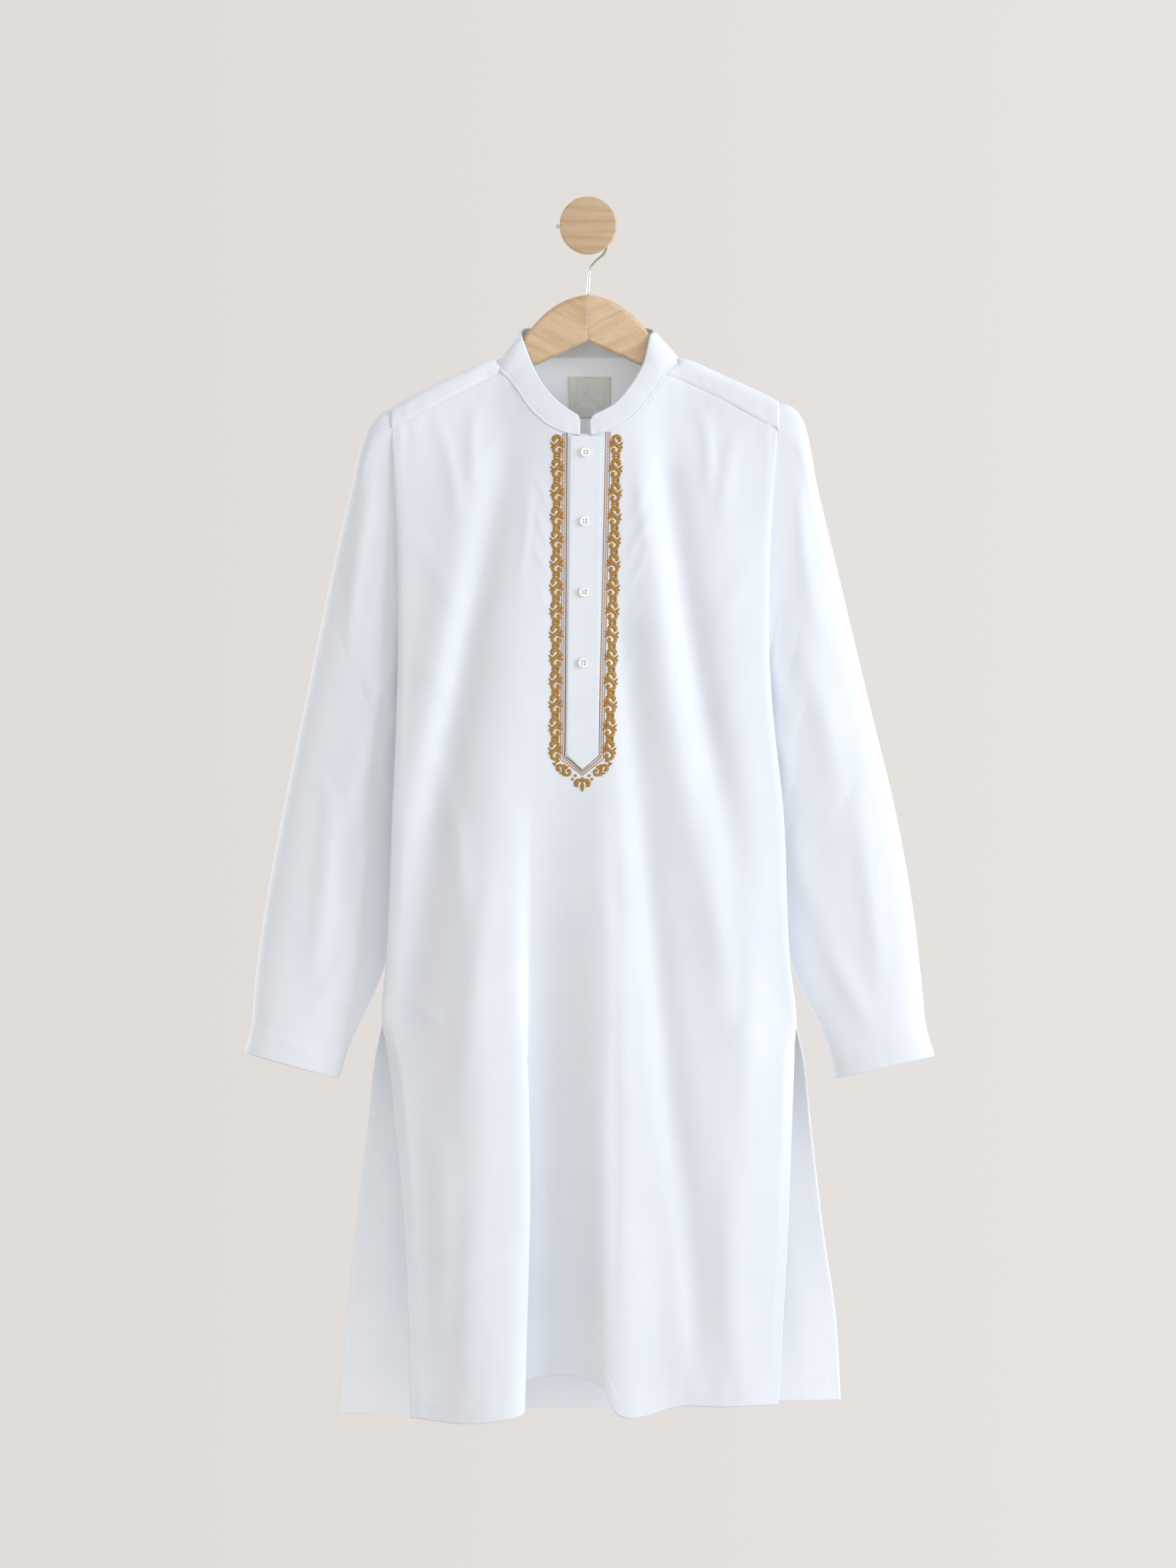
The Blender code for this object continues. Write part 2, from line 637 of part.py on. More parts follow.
def shoulder_section(x_front, x_back, front_drop, x_ridge=None):
    """Seven places that carry the yoke from its back seam over the hanger to its front seam."""
    side = LEFT if x_back < 0 else RIGHT
    x_ridge = (x_front + x_back) / 2 if x_ridge is None else x_ridge
    ridge = float(read(RIDGE_ROWS, "drop", abs(x_ridge), along="x"))
    if side == RIGHT:
        ridge -= 2.0 * float(np.clip((abs(x_ridge) - 150) / 40, 0, 1))
    middle, half = hanger_y(x_ridge), hanger_half_depth(x_ridge)
    across = abs(x_back) / (ARMHOLE_TOP_LEFT if side == LEFT else ARMHOLE_TOP_RIGHT)
    edge_y = side_edge("back", side, YOKE_BACK_DROP)[1]
    seam_y = float(back_y(across, x_back, YOKE_BACK_DROP, edge_y))
    return np.array([
        (x_back, seam_y, -YOKE_BACK_DROP),
        (x_back, (seam_y + middle + half) / 2 + 2.5, -(ridge + 38)),
        (x_ridge, middle + half + 3.2, -(ridge + 8)),
        (x_ridge, middle + half * 0.6, -(ridge + 0.4)),
        (x_ridge, middle - half * 0.4, -ridge),
        (x_ridge, middle - half - 1.8, -(ridge + 6)),
        (x_front, float(front_y(x_front, front_drop)), -front_drop),
    ])


def neck_section(base, x_back):
    """Seven places that carry the yoke from its back seam up to the neck seam."""
    side = LEFT if x_back < 0 else RIGHT
    across = abs(x_back) / (ARMHOLE_TOP_LEFT if side == LEFT else ARMHOLE_TOP_RIGHT)
    edge_y = side_edge("back", side, YOKE_BACK_DROP)[1]
    foot = np.array((x_back, float(back_y(across, x_back, YOKE_BACK_DROP, edge_y)), -YOKE_BACK_DROP))
    neck = np.array(base, float)
    places = [foot + (neck - foot) * share for share in NECK_SHARES]
    corner = float(np.clip((abs(x_back) - 66) / 20, 0, 1))
    for place, swell, clear in zip(places, NECK_SWELL, NECK_CLEARANCE):
        place += np.array((side * min(abs(x_back) / 60, 1) * 3.0, 2.0, 0.0)) * swell
        place += np.array((0.0, 3.5 * corner, 0.0)) * clear
    return np.array(places)


# The heights of the neck columns' places, the yoke's rounding there, and what takes it behind the
# hanger's back corner.
NECK_SHARES = (0, 0.56, 0.82, 0.91, 0.955, 0.98, 1)
NECK_SWELL = (0, 1, 0.6, 0.35, 0.2, 0.1, 0)
NECK_CLEARANCE = (0, 0.45, 1, 0.8, 0.5, 0.25, 0)
YOKE_SHOULDER_X = (-195.8, -181, -163, -145, -128, -113, -101)
# Where each neck column starts on the yoke's back seam, and how much of its shape is the shoulder's.
FanRow = namedtuple("FanRow", "x_back shoulder_share")
FAN_ROWS = (FanRow(95, 0.85), FanRow(86, 0.45), FanRow(74, 0.12), FanRow(55, 0), FanRow(28, 0), FanRow(0, 0))
YOKE_STATIONS = (0, 0.7, 1.4, 2.0, 2.5, 3.0, 4.0, 4.5, 5.0, 6.0)


def neck_base(index):
    """One place of the neck seam behind the front corners."""
    row = NECK_BACK_ROWS[index]
    return (row.x, row.y, -row.drop)


def yoke_columns():
    """The yoke's columns, from the left armhole round the back of the neck to the right armhole."""
    columns = []
    for x in YOKE_SHOULDER_X:
        columns.append(shoulder_section(x, x, top_drop(x)))
    columns.append(shoulder_section(NECK_CORNER_LEFT, -96.0, top_drop(NECK_CORNER_LEFT), x_ridge=-92.5))
    last = len(NECK_BACK_ROWS) - 1
    for index in range(last + 1):
        mirrored = min(index, last - index)
        fan = FAN_ROWS[mirrored]
        side = LEFT if index <= last / 2 else RIGHT
        neck = neck_section(neck_base(index), side * fan.x_back)
        if fan.shoulder_share > 0:
            base = neck_base(index)
            shoulder = shoulder_section(base[0], side * fan.x_back, -base[2])
            shoulder[-1] = base
            neck = neck + (shoulder - neck) * fan.shoulder_share
            neck[-1] = base
        columns.append(neck)
    columns.append(shoulder_section(NECK_CORNER_RIGHT, 96.0, top_drop(NECK_CORNER_RIGHT), x_ridge=91.5))
    for x in (92, 107, 122, 140, 158, 175, 189.5):
        columns.append(shoulder_section(x, max(x, 101.0), top_drop(x)))
    return columns


def section_points(section, stations=YOKE_STATIONS):
    """Read a seven-place section at the yoke's stations."""
    at = np.array(stations, float)
    return np.stack([smooth(at, range(7), section[:, axis]) for axis in range(3)], axis=-1)


def yoke():
    """The yoke: the shoulders and the back of the neck, in one piece."""
    columns = [section_points(section) for section in yoke_columns()]
    grid = np.array(columns).transpose(1, 0, 2)
    return cloth("yoke", grid)


def collar_stations():
    """The collar band's seam and top edge, from its left front end round to its right."""
    seam, top, bulge = [], [], []
    for side, rows in ((LEFT, BAND_LEFT_ROWS[::-1]), (None, NECK_BACK_ROWS), (RIGHT, BAND_RIGHT_ROWS)):
        for row in rows:
            if side is None:
                seam.append((row.x, row.y, -row.drop))
                top.append((row.top_x, row.top_y, -row.top_drop))
                bulge.append((math.copysign(row.bulge, row.x), 0, row.bulge))
                continue
            drop = top_drop(row.x)
            y = float(front_y(row.x, drop))
            seam.append((row.x, y, -drop))
            top.append((row.x - side * row.inward, y + row.back, -(drop - row.up)))
            bulge.append((side * row.bulge * 0.7, -row.bulge * 0.7, row.bulge * 0.5))
    return np.array(seam), np.array(top), np.array(bulge) * 0.7


COLLAR_SHARES = (0.0, 0.33, 0.67, 1.0)
COLLAR_LIFT = 1.3


def collar():
    """The standing collar band, open at the front, with rounded front corners."""
    seam, top, bulge = collar_stations()
    rise = top - seam
    length = np.linalg.norm(rise, axis=1)[:, None]
    foot = seam + rise / length * COLLAR_LIFT
    shares = np.linspace(0, 1, 41)
    grid = []
    for share in COLLAR_SHARES:
        line = foot + (top - foot) * share + bulge * 4 * share * (1 - share)
        grid.append(along_path(line, shares))
    return cloth("collar", grid)


# --------------------------------------------------------------------------------------- sleeves
def armhole_loop(side, count):
    """The armhole, from the top of the shoulder down its front to the underarm and up its back."""
    x_end = YOKE_SHOULDER_X[0] if side == LEFT else 189.5
    section = shoulder_section(x_end, x_end, top_drop(x_end))
    over = section_points(section, np.linspace(0, 6, 25))
    ridge = 14
    front = [tuple(p) for p in over[ridge:]]
    back = [tuple(p) for p in over[ridge::-1]]
    for drop in np.linspace(215, UNDERARM_DROP, 14):
        x, y = side_edge("front", side, drop)
        front.append((x, y, -drop))
    for drop in np.linspace(245, UNDERARM_DROP, 12):
        x, y = side_edge("back", side, drop)
        back.append((x, y, -drop))
    half = count // 2
    angles = np.linspace(0, math.pi, half + 1)
    shares = (1 - np.cos(angles)) / 2 * 0.75 + angles / math.pi * 0.25
    down, up = polyline(front, shares), polyline(back, shares)[::-1]
    return np.concatenate([down, up[1:-1]])


def polyline(points, shares):
    """Points at the given shares of a chain of straight runs."""
    points = np.asarray(points, float)
    steps = np.linalg.norm(np.diff(points, axis=0), axis=1)
    lengths = np.concatenate([[0.0], np.cumsum(steps)])
    at = np.asarray(shares, float) * lengths[-1]
    return np.stack([np.interp(at, lengths, points[:, axis]) for axis in range(3)], axis=-1)


def sleeve_ring(side, share, count):
    """One flattened ring of a sleeve, from its outer edge round its front to its inner edge and back."""
    outer = along_path([(side * r.x, 0, -r.drop) for r in SLEEVE_OUTER[side]], [share])[0]
    inner = along_path([(side * r.x, 0, -r.drop) for r in SLEEVE_INNER[side]], [share])[0]
    middle_y = float(read(SLEEVE_ROWS, "middle_y", share, along="share"))
    half = float(read(SLEEVE_ROWS, "half_depth", share, along="share"))
    square = float(read(SLEEVE_ROWS, "squareness", share, along="share"))
    narrowing = float(read(SLEEVE_ROWS, "narrowing", share, along="share"))
    ring = []
    for k in range(count):
        angle = 2 * math.pi * k / count
        across = (1 - math.cos(angle)) / 2
        depth = math.copysign(abs(math.sin(angle)) ** square, math.sin(angle)) * half
        place = outer + (inner - outer) * across
        ring.append((place[0], middle_y - depth * (1 - narrowing * across), place[2]))
    return np.array(ring)


def pull_in(edge, inner):
    """Draw the edge of one half of a sleeve back along the cloth, clear of the other half."""
    run = inner - edge
    length = np.linalg.norm(run, axis=1)
    flat, deep = np.hypot(run[:, 0], run[:, 2]) / length, np.abs(run[:, 1]) / length
    needed = (CLOTH_WALL / 2 * flat + HALVES_GAP / 2) / np.maximum(deep, 0.05)
    return edge + run / length[:, None] * np.minimum(needed, HALVES_MOST)[:, None]


def sleeve(side):
    """One long sleeve, an open tube from the armhole to the cuff, as its front half and its back half."""
    loop = armhole_loop(side, SLEEVE_SIDES) + np.array((side * ARMHOLE_SEAM, 0, 0))
    loop[:, 1] += UNDERARM_SETBACK * np.clip((-loop[:, 2] - 430) / 20, 0, 1)
    first = sleeve_ring(side, 0.0, SLEEVE_SIDES)
    rings = []
    for share in SLEEVE_SHARES:
        fade = max(0.0, 1 - share / ARMHOLE_BLEND_SHARE) ** 1.5
        rings.append(sleeve_ring(side, share, SLEEVE_SIDES) + (loop - first) * fade)
    rings = np.array(rings)
    middle = SLEEVE_SIDES // 2
    halves = {"_front": rings[:, : middle + 1], "_back": np.concatenate([rings[:, middle:], rings[:, :1]], axis=1)}
    for half, grid in halves.items():
        grid = grid.copy()
        grid[:, 0], grid[:, -1] = pull_in(grid[:, 0], grid[:, 1]), pull_in(grid[:, -1], grid[:, -2])
        cloth(side_name("sleeve_", side) + half, grid)


# ------------------------------------------------------------------------- placket, buttons, label
def placket_x(drop):
    """The placket's middle line, which leans a little."""
    return PLACKET_TOP_X + PLACKET_LEAN * (drop - PLACKET_TOP_DROP)


def placket():
    """The placket strip down the front, with its pointed end."""
    lift = CLOTH_WALL / 2 + LAYER_GAP + PLACKET_WALL / 2
    grid = []
    for share in np.linspace(0, 1, 16):
        row = []
        for across in np.linspace(-1, 1, 5):
            bottom = PLACKET_TURN_DROP + (PLACKET_TIP_DROP - PLACKET_TURN_DROP) * (1 - abs(across))
            drop = PLACKET_TOP_DROP + (bottom - PLACKET_TOP_DROP) * share
            x = placket_x(drop) + across * PLACKET_WIDTH / 2
            row.append((x, float(front_y(x, drop)) - lift, -drop))
        grid.append(row)
    return cloth("placket", grid, wall=PLACKET_WALL)


def button(number, drop):
    """One four-hole button, turned with a rim and a dished middle."""
    x = placket_x(drop) - 0.5
    seat = float(front_y(x, drop)) - CLOTH_WALL / 2 - LAYER_GAP - PLACKET_WALL - LAYER_GAP
    radius, face = BUTTON_DIAMETER / 2, seat - BUTTON_THICKNESS
    profile = (
        (0, seat),
        (radius - 1.2, seat),
        (radius, seat - 0.9),
        (radius - 0.3, face + 0.3),
        (radius - 0.8, face),
        (radius - BUTTON_RIM, face + 0.15),
        (radius - BUTTON_RIM - 0.5, face + BUTTON_DISH),
        (0, face + BUTTON_DISH),
    )
    obj = turned(f"button_{number}", profile, (x, -drop), BUTTON_SIDES, PEARL)
    for hole in range(4):
        angle = math.pi / 4 + hole * math.pi / 2
        centre = (
            x + BUTTON_HOLE_SPACING / 2 * math.sqrt(2) * math.cos(angle),
            -drop + BUTTON_HOLE_SPACING / 2 * math.sqrt(2) * math.sin(angle),
        )
        bore = ((0, seat + 2), (BUTTON_HOLE_DIAMETER / 2, seat + 2), (BUTTON_HOLE_DIAMETER / 2, face - 2), (0, face - 2))
        cutter = turned(f"button_{number}_bore_{hole + 1}", bore, centre, 6, PEARL)
        cutter.hide_render = True
        cutter.hide_set(True)
        cutter.display_type = "WIRE"
        cut = obj.modifiers.new(f"bore_{hole + 1}", "BOOLEAN")
        cut.operation = "DIFFERENCE"
        cut.object = cutter
    return obj


def label():
    """The blank label inside the back of the neck."""
    backs = [section_points(neck_section(neck_base(4 + k), x_back)) for k, x_back in enumerate((-28, 0, 28))]
    lift = CLOTH_WALL / 2 + LAYER_GAP + LABEL_WALL / 2
    grid = []
    for drop in np.linspace(LABEL_TOP_DROP, LABEL_TOP_DROP + LABEL_HEIGHT, 6):
        places = [[float(np.interp(drop, -back[::-1, 2], back[::-1, axis])) for back in backs] for axis in (0, 1)]
        row = []
        for across in (-1, -0.33, 0.33, 1):
            x = LABEL_X + across * LABEL_WIDTH / 2
            row.append((x, float(np.interp(x, *places)) - lift, -drop))
        grid.append(row)
    return cloth("label", grid, look=LABEL_CLOTH, wall=LABEL_WALL)


# ------------------------------------------------------------------------------ hanger and peg
def hanger_half(side):
    """One half of the hanger, from the mitre at its middle to its rounded shoulder end."""
    points, rings = [], []
    for index, row in enumerate(HANGER_ROWS):
        x = side * (row.x if index else MITRE_GAP / 2)
        y, half = hanger_y(row.x), row.thickness / 2
        chamfer = min(HANGER_CHAMFER, (row.bottom - row.top) / 4, half)
        ease = min(HANGER_EASE, half / 3)
        last = index == len(HANGER_ROWS) - 1
        if last:
            half, chamfer = half * 0.8, chamfer * 0.9
        section = (
            (y - half, -row.bottom + ease),
            (y - half, -row.top - chamfer),
            (y - half + chamfer * 0.8, -row.top),
            (y + half - ease, -row.top),
            (y + half, -row.top - ease),
            (y + half, -row.bottom + ease),
            (y + half - ease, -row.bottom),
            (y - half + ease, -row.bottom),
        )
        rings.append(list(range(len(points), len(points) + len(section))))
        points += [(x, py, pz) for py, pz in section]
    faces = [tuple(rings[0][::-1])]
    count = len(rings[0])
    for low, high in zip(rings, rings[1:]):
        faces += [(low[k], low[(k + 1) % count], high[(k + 1) % count], high[k]) for k in range(count)]
    tip_x = side * HANGER_HALF
    last = HANGER_ROWS[-1]
    points.append((tip_x, hanger_y(HANGER_HALF), -(last.top + last.bottom) / 2 - 1))
    tip = len(points) - 1
    faces += [(rings[-1][k], rings[-1][(k + 1) % count], tip) for k in range(count)]
    obj = mesh_object(side_name("hanger_", side), points, faces, BEECH)
    obj.data.set_sharp_from_angle(angle=math.radians(35))
    return obj


def hook_route():
    """The wire's centre line, from the wood round over the peg's stem to its flared end."""
    route = [(row.x, -row.drop) for row in SHANK_ROWS]
    for step in range(HOOK_ARC_STEPS + 1):
        angle = math.radians(HOOK_ARC_START + (HOOK_ARC_END - HOOK_ARC_START) * step / HOOK_ARC_STEPS)
        route.append((
            HOOK_ARC_X + HOOK_ARC_RADIUS * math.cos(angle),
            -HOOK_ARC_DROP + HOOK_ARC_RADIUS * math.sin(angle),
        ))
    heading = math.radians(HOOK_ARC_END + 90)
    centre = (
        route[-1][0] + HOOK_FLARE_RADIUS * math.sin(heading),
        route[-1][1] - HOOK_FLARE_RADIUS * math.cos(heading),
    )
    for step in range(1, HOOK_FLARE_STEPS + 1):
        turn = heading + (math.pi - heading) * step / HOOK_FLARE_STEPS
        route.append((
            centre[0] - HOOK_FLARE_RADIUS * math.sin(turn),
            centre[1] + HOOK_FLARE_RADIUS * math.cos(turn),
        ))
    return route


def hook():
    """The wire hook, and the cap on its end."""
    route = hook_route()
    curve = bpy.data.curves.new("hook", "CURVE")
    curve.dimensions = "3D"
    curve.bevel_depth = WIRE_DIAMETER / 2 * MM
    curve.bevel_resolution = 2
    curve.use_fill_caps = True
    spline = curve.splines.new("POLY")
    spline.points.add(len(route) - 1)
    for point, (x, z) in zip(spline.points, route):
        point.co = (x * MM, HANGER_Y * MM, z * MM, 1.0)
    wire = bpy.data.objects.new("hook", curve)
    bpy.context.scene.collection.objects.link(wire)
    finish(wire, NICKEL)

    end_x, end_z = route[-1]
    radius = TIP_DIAMETER / 2
    profile = [(0, 0.45), (radius - 0.5, 0.45), (radius, 0.95), (radius, TIP_LENGTH - radius)]
    for step in (1, 2):
        angle = math.pi / 2 * step / 3
        profile.append((radius * math.cos(angle), TIP_LENGTH - radius + radius * math.sin(angle)))
    profile.append((0, TIP_LENGTH))
    cap = turned("hook_tip", profile, (0, 0), 16, NICKEL)
    # The cap is turned about Y, and then laid along -X at the wire's end.
    for vertex in cap.data.vertices:
        x, y, z = vertex.co
        vertex.co = (end_x * MM - y, HANGER_Y * MM + x, end_z * MM + z)


def peg():
    """The wall peg: a turned stem with its flat back on the wall, and the disc on its front."""
    stem = PEG_STEM_DIAMETER / 2
    turned("peg_stem", ((0, 0), (stem, 0), (stem, -PEG_STEM_LENGTH), (0, -PEG_STEM_LENGTH)), (0, 0), PEG_SIDES, BEECH)
    radius, edge = PEG_DISC_DIAMETER / 2, PEG_DISC_EDGE
    back = -PEG_STEM_LENGTH - SEAM_GAP
    front = back - PEG_DISC_THICKNESS
    profile = (
        (0, back),
        (radius - edge, back),
        (radius - edge * 0.3, back - edge * 0.3),
        (radius, back - edge),
        (radius, front + edge),
        (radius - edge * 0.3, front + edge * 0.3),
        (radius - edge, front),
        (0, front),
    )
    turned("peg_disc", profile, (0, 0), PEG_SIDES, BEECH)


def clear_scene():
    """Remove everything that the scene starts with."""
    for obj in list(bpy.data.objects):
        bpy.data.objects.remove(obj, do_unlink=True)


def main():
    """Build every piece."""
    clear_scene()
    front_panel()
    back_panel()
    yoke()
    collar()
    for side in (LEFT, RIGHT):
        sleeve(side)
        hanger_half(side)
    placket()
    for number, drop in enumerate(BUTTON_DROPS, start=1):
        button(number, drop)
    label()
    hook()
    peg()


main()
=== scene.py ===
"""Looks for a kurta tunic on its wooden hanger and wall peg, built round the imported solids.

The frame's origin is the middle of the peg's flat back, on the wall plane y = 0. +Z is up, +X is to the
right as the tunic is seen from the front, and the tunic hangs at negative y. Left and right are as seen
from the front. Sizes are in millimetres and MM turns them to metres as a mesh is made; "drop" is the
distance below the peg's axis, so z = -drop.
"""

from __future__ import annotations

import logging
import math
from dataclasses import dataclass, field
from enum import Enum
from typing import Any, Sequence

import bmesh
import bpy
import numpy as np
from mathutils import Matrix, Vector

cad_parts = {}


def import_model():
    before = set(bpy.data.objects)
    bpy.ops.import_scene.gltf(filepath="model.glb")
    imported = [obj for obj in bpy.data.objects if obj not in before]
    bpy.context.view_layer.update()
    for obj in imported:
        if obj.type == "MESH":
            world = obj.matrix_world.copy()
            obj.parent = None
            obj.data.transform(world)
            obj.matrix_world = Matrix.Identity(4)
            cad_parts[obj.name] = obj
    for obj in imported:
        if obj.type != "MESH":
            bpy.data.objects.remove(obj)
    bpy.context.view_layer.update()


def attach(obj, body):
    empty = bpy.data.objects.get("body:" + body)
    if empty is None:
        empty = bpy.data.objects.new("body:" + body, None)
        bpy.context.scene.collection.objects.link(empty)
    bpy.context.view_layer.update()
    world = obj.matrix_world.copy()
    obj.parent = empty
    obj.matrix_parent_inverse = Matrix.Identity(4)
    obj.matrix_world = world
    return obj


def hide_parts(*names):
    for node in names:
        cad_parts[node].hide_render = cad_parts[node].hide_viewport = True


MM = 0.001
LOG = logging.getLogger("kurta")
Array = np.ndarray
Piece = bpy.types.Object
Socket = bpy.types.NodeSocket
Tree = bpy.types.NodeTree


class Side(Enum):
    """A side of the tunic, as seen from the front, and the sign of its x."""

    LEFT = -1
    RIGHT = 1


class Panel(Enum):
    """The two large body panels."""

    FRONT = "front"
    BACK = "back"


class Edge(Enum):
    """An edge of a grid of cloth, along which a row of stitches may run."""

    FIRST_ROW = 0
    LAST_ROW = 1
    FIRST_COLUMN = 2
    LAST_COLUMN = 3


# ---- reading
def smooth(at: Any, places: Any, values: Any) -> Array:
    """Read a smooth curve through stations, level past its ends.

    Args:
        at: where to read it.
        places: the stations, rising.
        values: the values there.

    Returns:
        The values read.
    """
    places, values = np.asarray(places, float), np.asarray(values, float)
    at = np.clip(np.asarray(at, float), places[0], places[-1])
    slopes = np.gradient(values, places)
    k = np.clip(np.searchsorted(places, at, side="right") - 1, 0, len(places) - 2)
    span = places[k + 1] - places[k]
    t = (at - places[k]) / span
    rise = (1 + 2 * t) * (1 - t) ** 2 * values[k] + t * t * (3 - 2 * t) * values[k + 1]
    return rise + span * (t * (1 - t) ** 2 * slopes[k] - t * t * (1 - t) * slopes[k + 1])


def bands(pitch: float) -> float:
    """The scale of Blender's wave texture that puts its bands a pitch apart, in millimetres."""
    return 2 * math.pi / 20 / (pitch * MM)


def cells(*sizes: float) -> Any:
    """The scale of noise whose cells are of a size in millimetres, or the scales along each axis."""
    scales = tuple(1 / (size * MM) for size in sizes)
    return scales if len(sizes) > 1 else scales[0]


def step(at: Any, low: float, high: float) -> Array:
    """Rise from 0 at low to 1 at high, with soft ends."""
    t = np.clip((np.asarray(at, float) - low) / (high - low), 0, 1)
    return t * t * (3 - 2 * t)


def lengths_of(points: Array) -> Array:
    """The distance along a chain of points, from its first."""
    steps = np.linalg.norm(np.diff(points, axis=0), axis=1)
    return np.concatenate([[0.0], np.cumsum(steps)])


def unit(vectors: Array, least: float = 1e-9) -> Array:
    """Vectors divided by their own lengths, or by the least where they are shorter than it."""
    return vectors / np.maximum(np.linalg.norm(vectors, axis=-1, keepdims=True), least)


def read_line(at: Any, lengths: Array, line: Array) -> Array:
    """The places at lengths along a chain of points."""
    return np.stack([np.interp(at, lengths, column) for column in line.T], axis=-1)


def along_path(points: Any, shares: Any, straight: bool = False) -> Array:
    """Read points along a path.

    Args:
        points: the path.
        shares: shares of its length.
        straight: read straight runs, not a smooth curve.

    Returns:
        One point for each share.
    """
    points = np.asarray(points, float)
    lengths = lengths_of(points)
    at = np.asarray(shares, float) * lengths[-1]
    if straight:
        return read_line(at, lengths, points)
    return np.stack([smooth(at, lengths, points[:, axis]) for axis in range(3)], axis=-1)


@dataclass(frozen=True)
class Table:
    """Sizes in named columns, read smoothly between their rows."""

    names: str
    rows: tuple[tuple[float, ...], ...]

    def column(self, name: str) -> Array:
        """One column's values."""
        return np.array([row[self.names.split().index(name)] for row in self.rows], float)

    def read(self, name: str, at: Any, along: str = "drop") -> Array:
        """A column's value at a place between the rows."""
        return smooth(at, self.column(along), self.column(name))

    def read_all(self, names: str, at: Any, along: str = "drop") -> list[Array]:
        """Several columns' values at a place between the rows."""
        return [self.read(name, at, along) for name in names.split()]


@dataclass(frozen=True)
class Crease:
    """A soft ridge (or trough, where its depth is negative) on cloth, from one place to another."""

    x_from: float
    drop_from: float
    x_to: float
    drop_to: float
    depth: float
    left_width: float
    right_width: float
    bow: float = 0.0

    def offset(self, x: Array, drop: Array) -> Array:
        """How far the crease lifts the cloth.

        Args:
            x: places across the cloth.
            drop: places down the cloth.

        Returns:
            The lift at each place.
        """
        run_x, run_drop = self.x_to - self.x_from, self.drop_to - self.drop_from
        length = math.hypot(run_x, run_drop)
        t = ((x - self.x_from) * run_x + (drop - self.drop_from) * run_drop) / length**2
        inside = np.clip(t, 0, 1)
        across = ((x - self.x_from) * run_drop - (drop - self.drop_from) * run_x) / length
        across = across - self.bow * 4 * inside * (1 - inside)
        width = np.where(across < 0, self.left_width, self.right_width)
        fade = np.clip(4 * inside * (1 - inside), 0, 1) ** 0.8
        return self.depth * np.exp(-((across / width) ** 2)) * fade


def creases(*rows: tuple[float, ...]) -> tuple[Crease, ...]:
    """Creases from rows of their sizes: x and drop from, x and drop to, depth, both widths and bow."""
    return tuple(Crease(*row) for row in rows)


def creased(laid: Sequence[Crease], x: Array, drop: Array) -> Array:
    """The sum of all creases at each place."""
    total = np.zeros(np.broadcast(x, drop).shape)
    for crease in laid:
        total = total + crease.offset(x, drop)
    return total


def uneven(x: Array, drop: Array, depth: float) -> Array:
    """A slight unevenness, of crossing waves that never line up."""
    waves = np.sin(x / 17.3 + 1.7 * np.sin(drop / 61.0)) * np.sin(drop / 43.0 + 1.1 * np.sin(x / 29.0))
    finer = np.sin(x / 7.9 + drop / 31.0 + 2.0) * np.sin(drop / 23.0 - x / 41.0)
    return depth * (0.7 * waves + 0.3 * finer)


@dataclass(frozen=True)
class Puckers:
    """Small uneven puckers beside a seam."""

    depth: float
    pitch: float
    reach: float

    def lift(self, along: Array, away: Array) -> Array:
        """How far the puckers lift the cloth.

        Args:
            along: distances along the seam.
            away: distances from the seam.

        Returns:
            The lift at each place.
        """
        turn = 2 * math.pi * along / self.pitch
        wave = np.sin(turn + 1.3 * np.sin(turn / 3.7) + 0.7) * (0.6 + 0.4 * np.sin(turn / 5.3 + 1.0))
        return self.depth * wave * np.exp(-np.abs(away) / self.reach)


@dataclass(frozen=True)
class Hem:
    """A turned-up hem: how deep it is, how far its turned layer swells the cloth, and the puckers at its stitches."""

    depth: float
    puckers: Puckers
    swell: float = 0.3
    ease: float = 0.5

    def band(self, to_edge: Array) -> Array:
        """The swell of the turned layer at distances from the cloth's edge."""
        return self.swell * step(self.depth + self.ease - to_edge, 0, 1.0)

    def ripple(self, along: Array, to_edge: Array) -> Array:
        """The puckers beside the hem's stitches."""
        return self.puckers.lift(along, to_edge - self.depth)


# ---- the drape
NECK_LEFT, NECK_RIGHT = -87.0, 78.0
SIDE_MARGIN, ROLL_DEPTH, ROLL_START, FREE_BLEND = 10.0, 6.0, 120.0, 60.0
CLOTH_WALL = 1.2
FOLD_PLACES = ("top", "middle", "low")
PUCKER_START = (3, 12)
TUCK_END = (0.5, 3.0)
EDGE_COLUMNS = "drop front_left front_right front_y back_left back_right back_y"

FOLDS_FRONT = Table(
    "x_top drop_top x_middle drop_middle x_low drop_low depth_top depth_middle depth_low left right flatness",
    (
        (-112, 226, -158, 480, -196, 640, 2, 5, 2, 24, 18, 2),
        (-84, 235, -129, 470, -176, 760, -3, -6, -3, 18, 18, 2),
        (-58, 290, -104, 660, -102, 1187, 3, 9, 13, 46, 40, 2),
        (-54, 560, -60, 860, -69, 1187, 0, -15, -29, 11, 42, 2),
        (-24, 560, -24, 860, -24, 1187, 0, -1, -8, 30, 30, 4),
        (18, 560, 18, 780, 32, 1187, 4, 7, 9, 34, 34, 2),
        (34, 400, 66, 720, 104, 1090, -4, -5, -3, 14, 18, 2),
        (56, 226, 82, 480, 140, 790, 3, 4.5, 2, 20, 16, 2),
        (76, 250, 114, 480, 148, 640, -5, -6, -2, 15, 18, 2),
        (136, 250, 152, 600, 148, 1187, 2, 5, 5, 42, 34, 2),
    ),
)
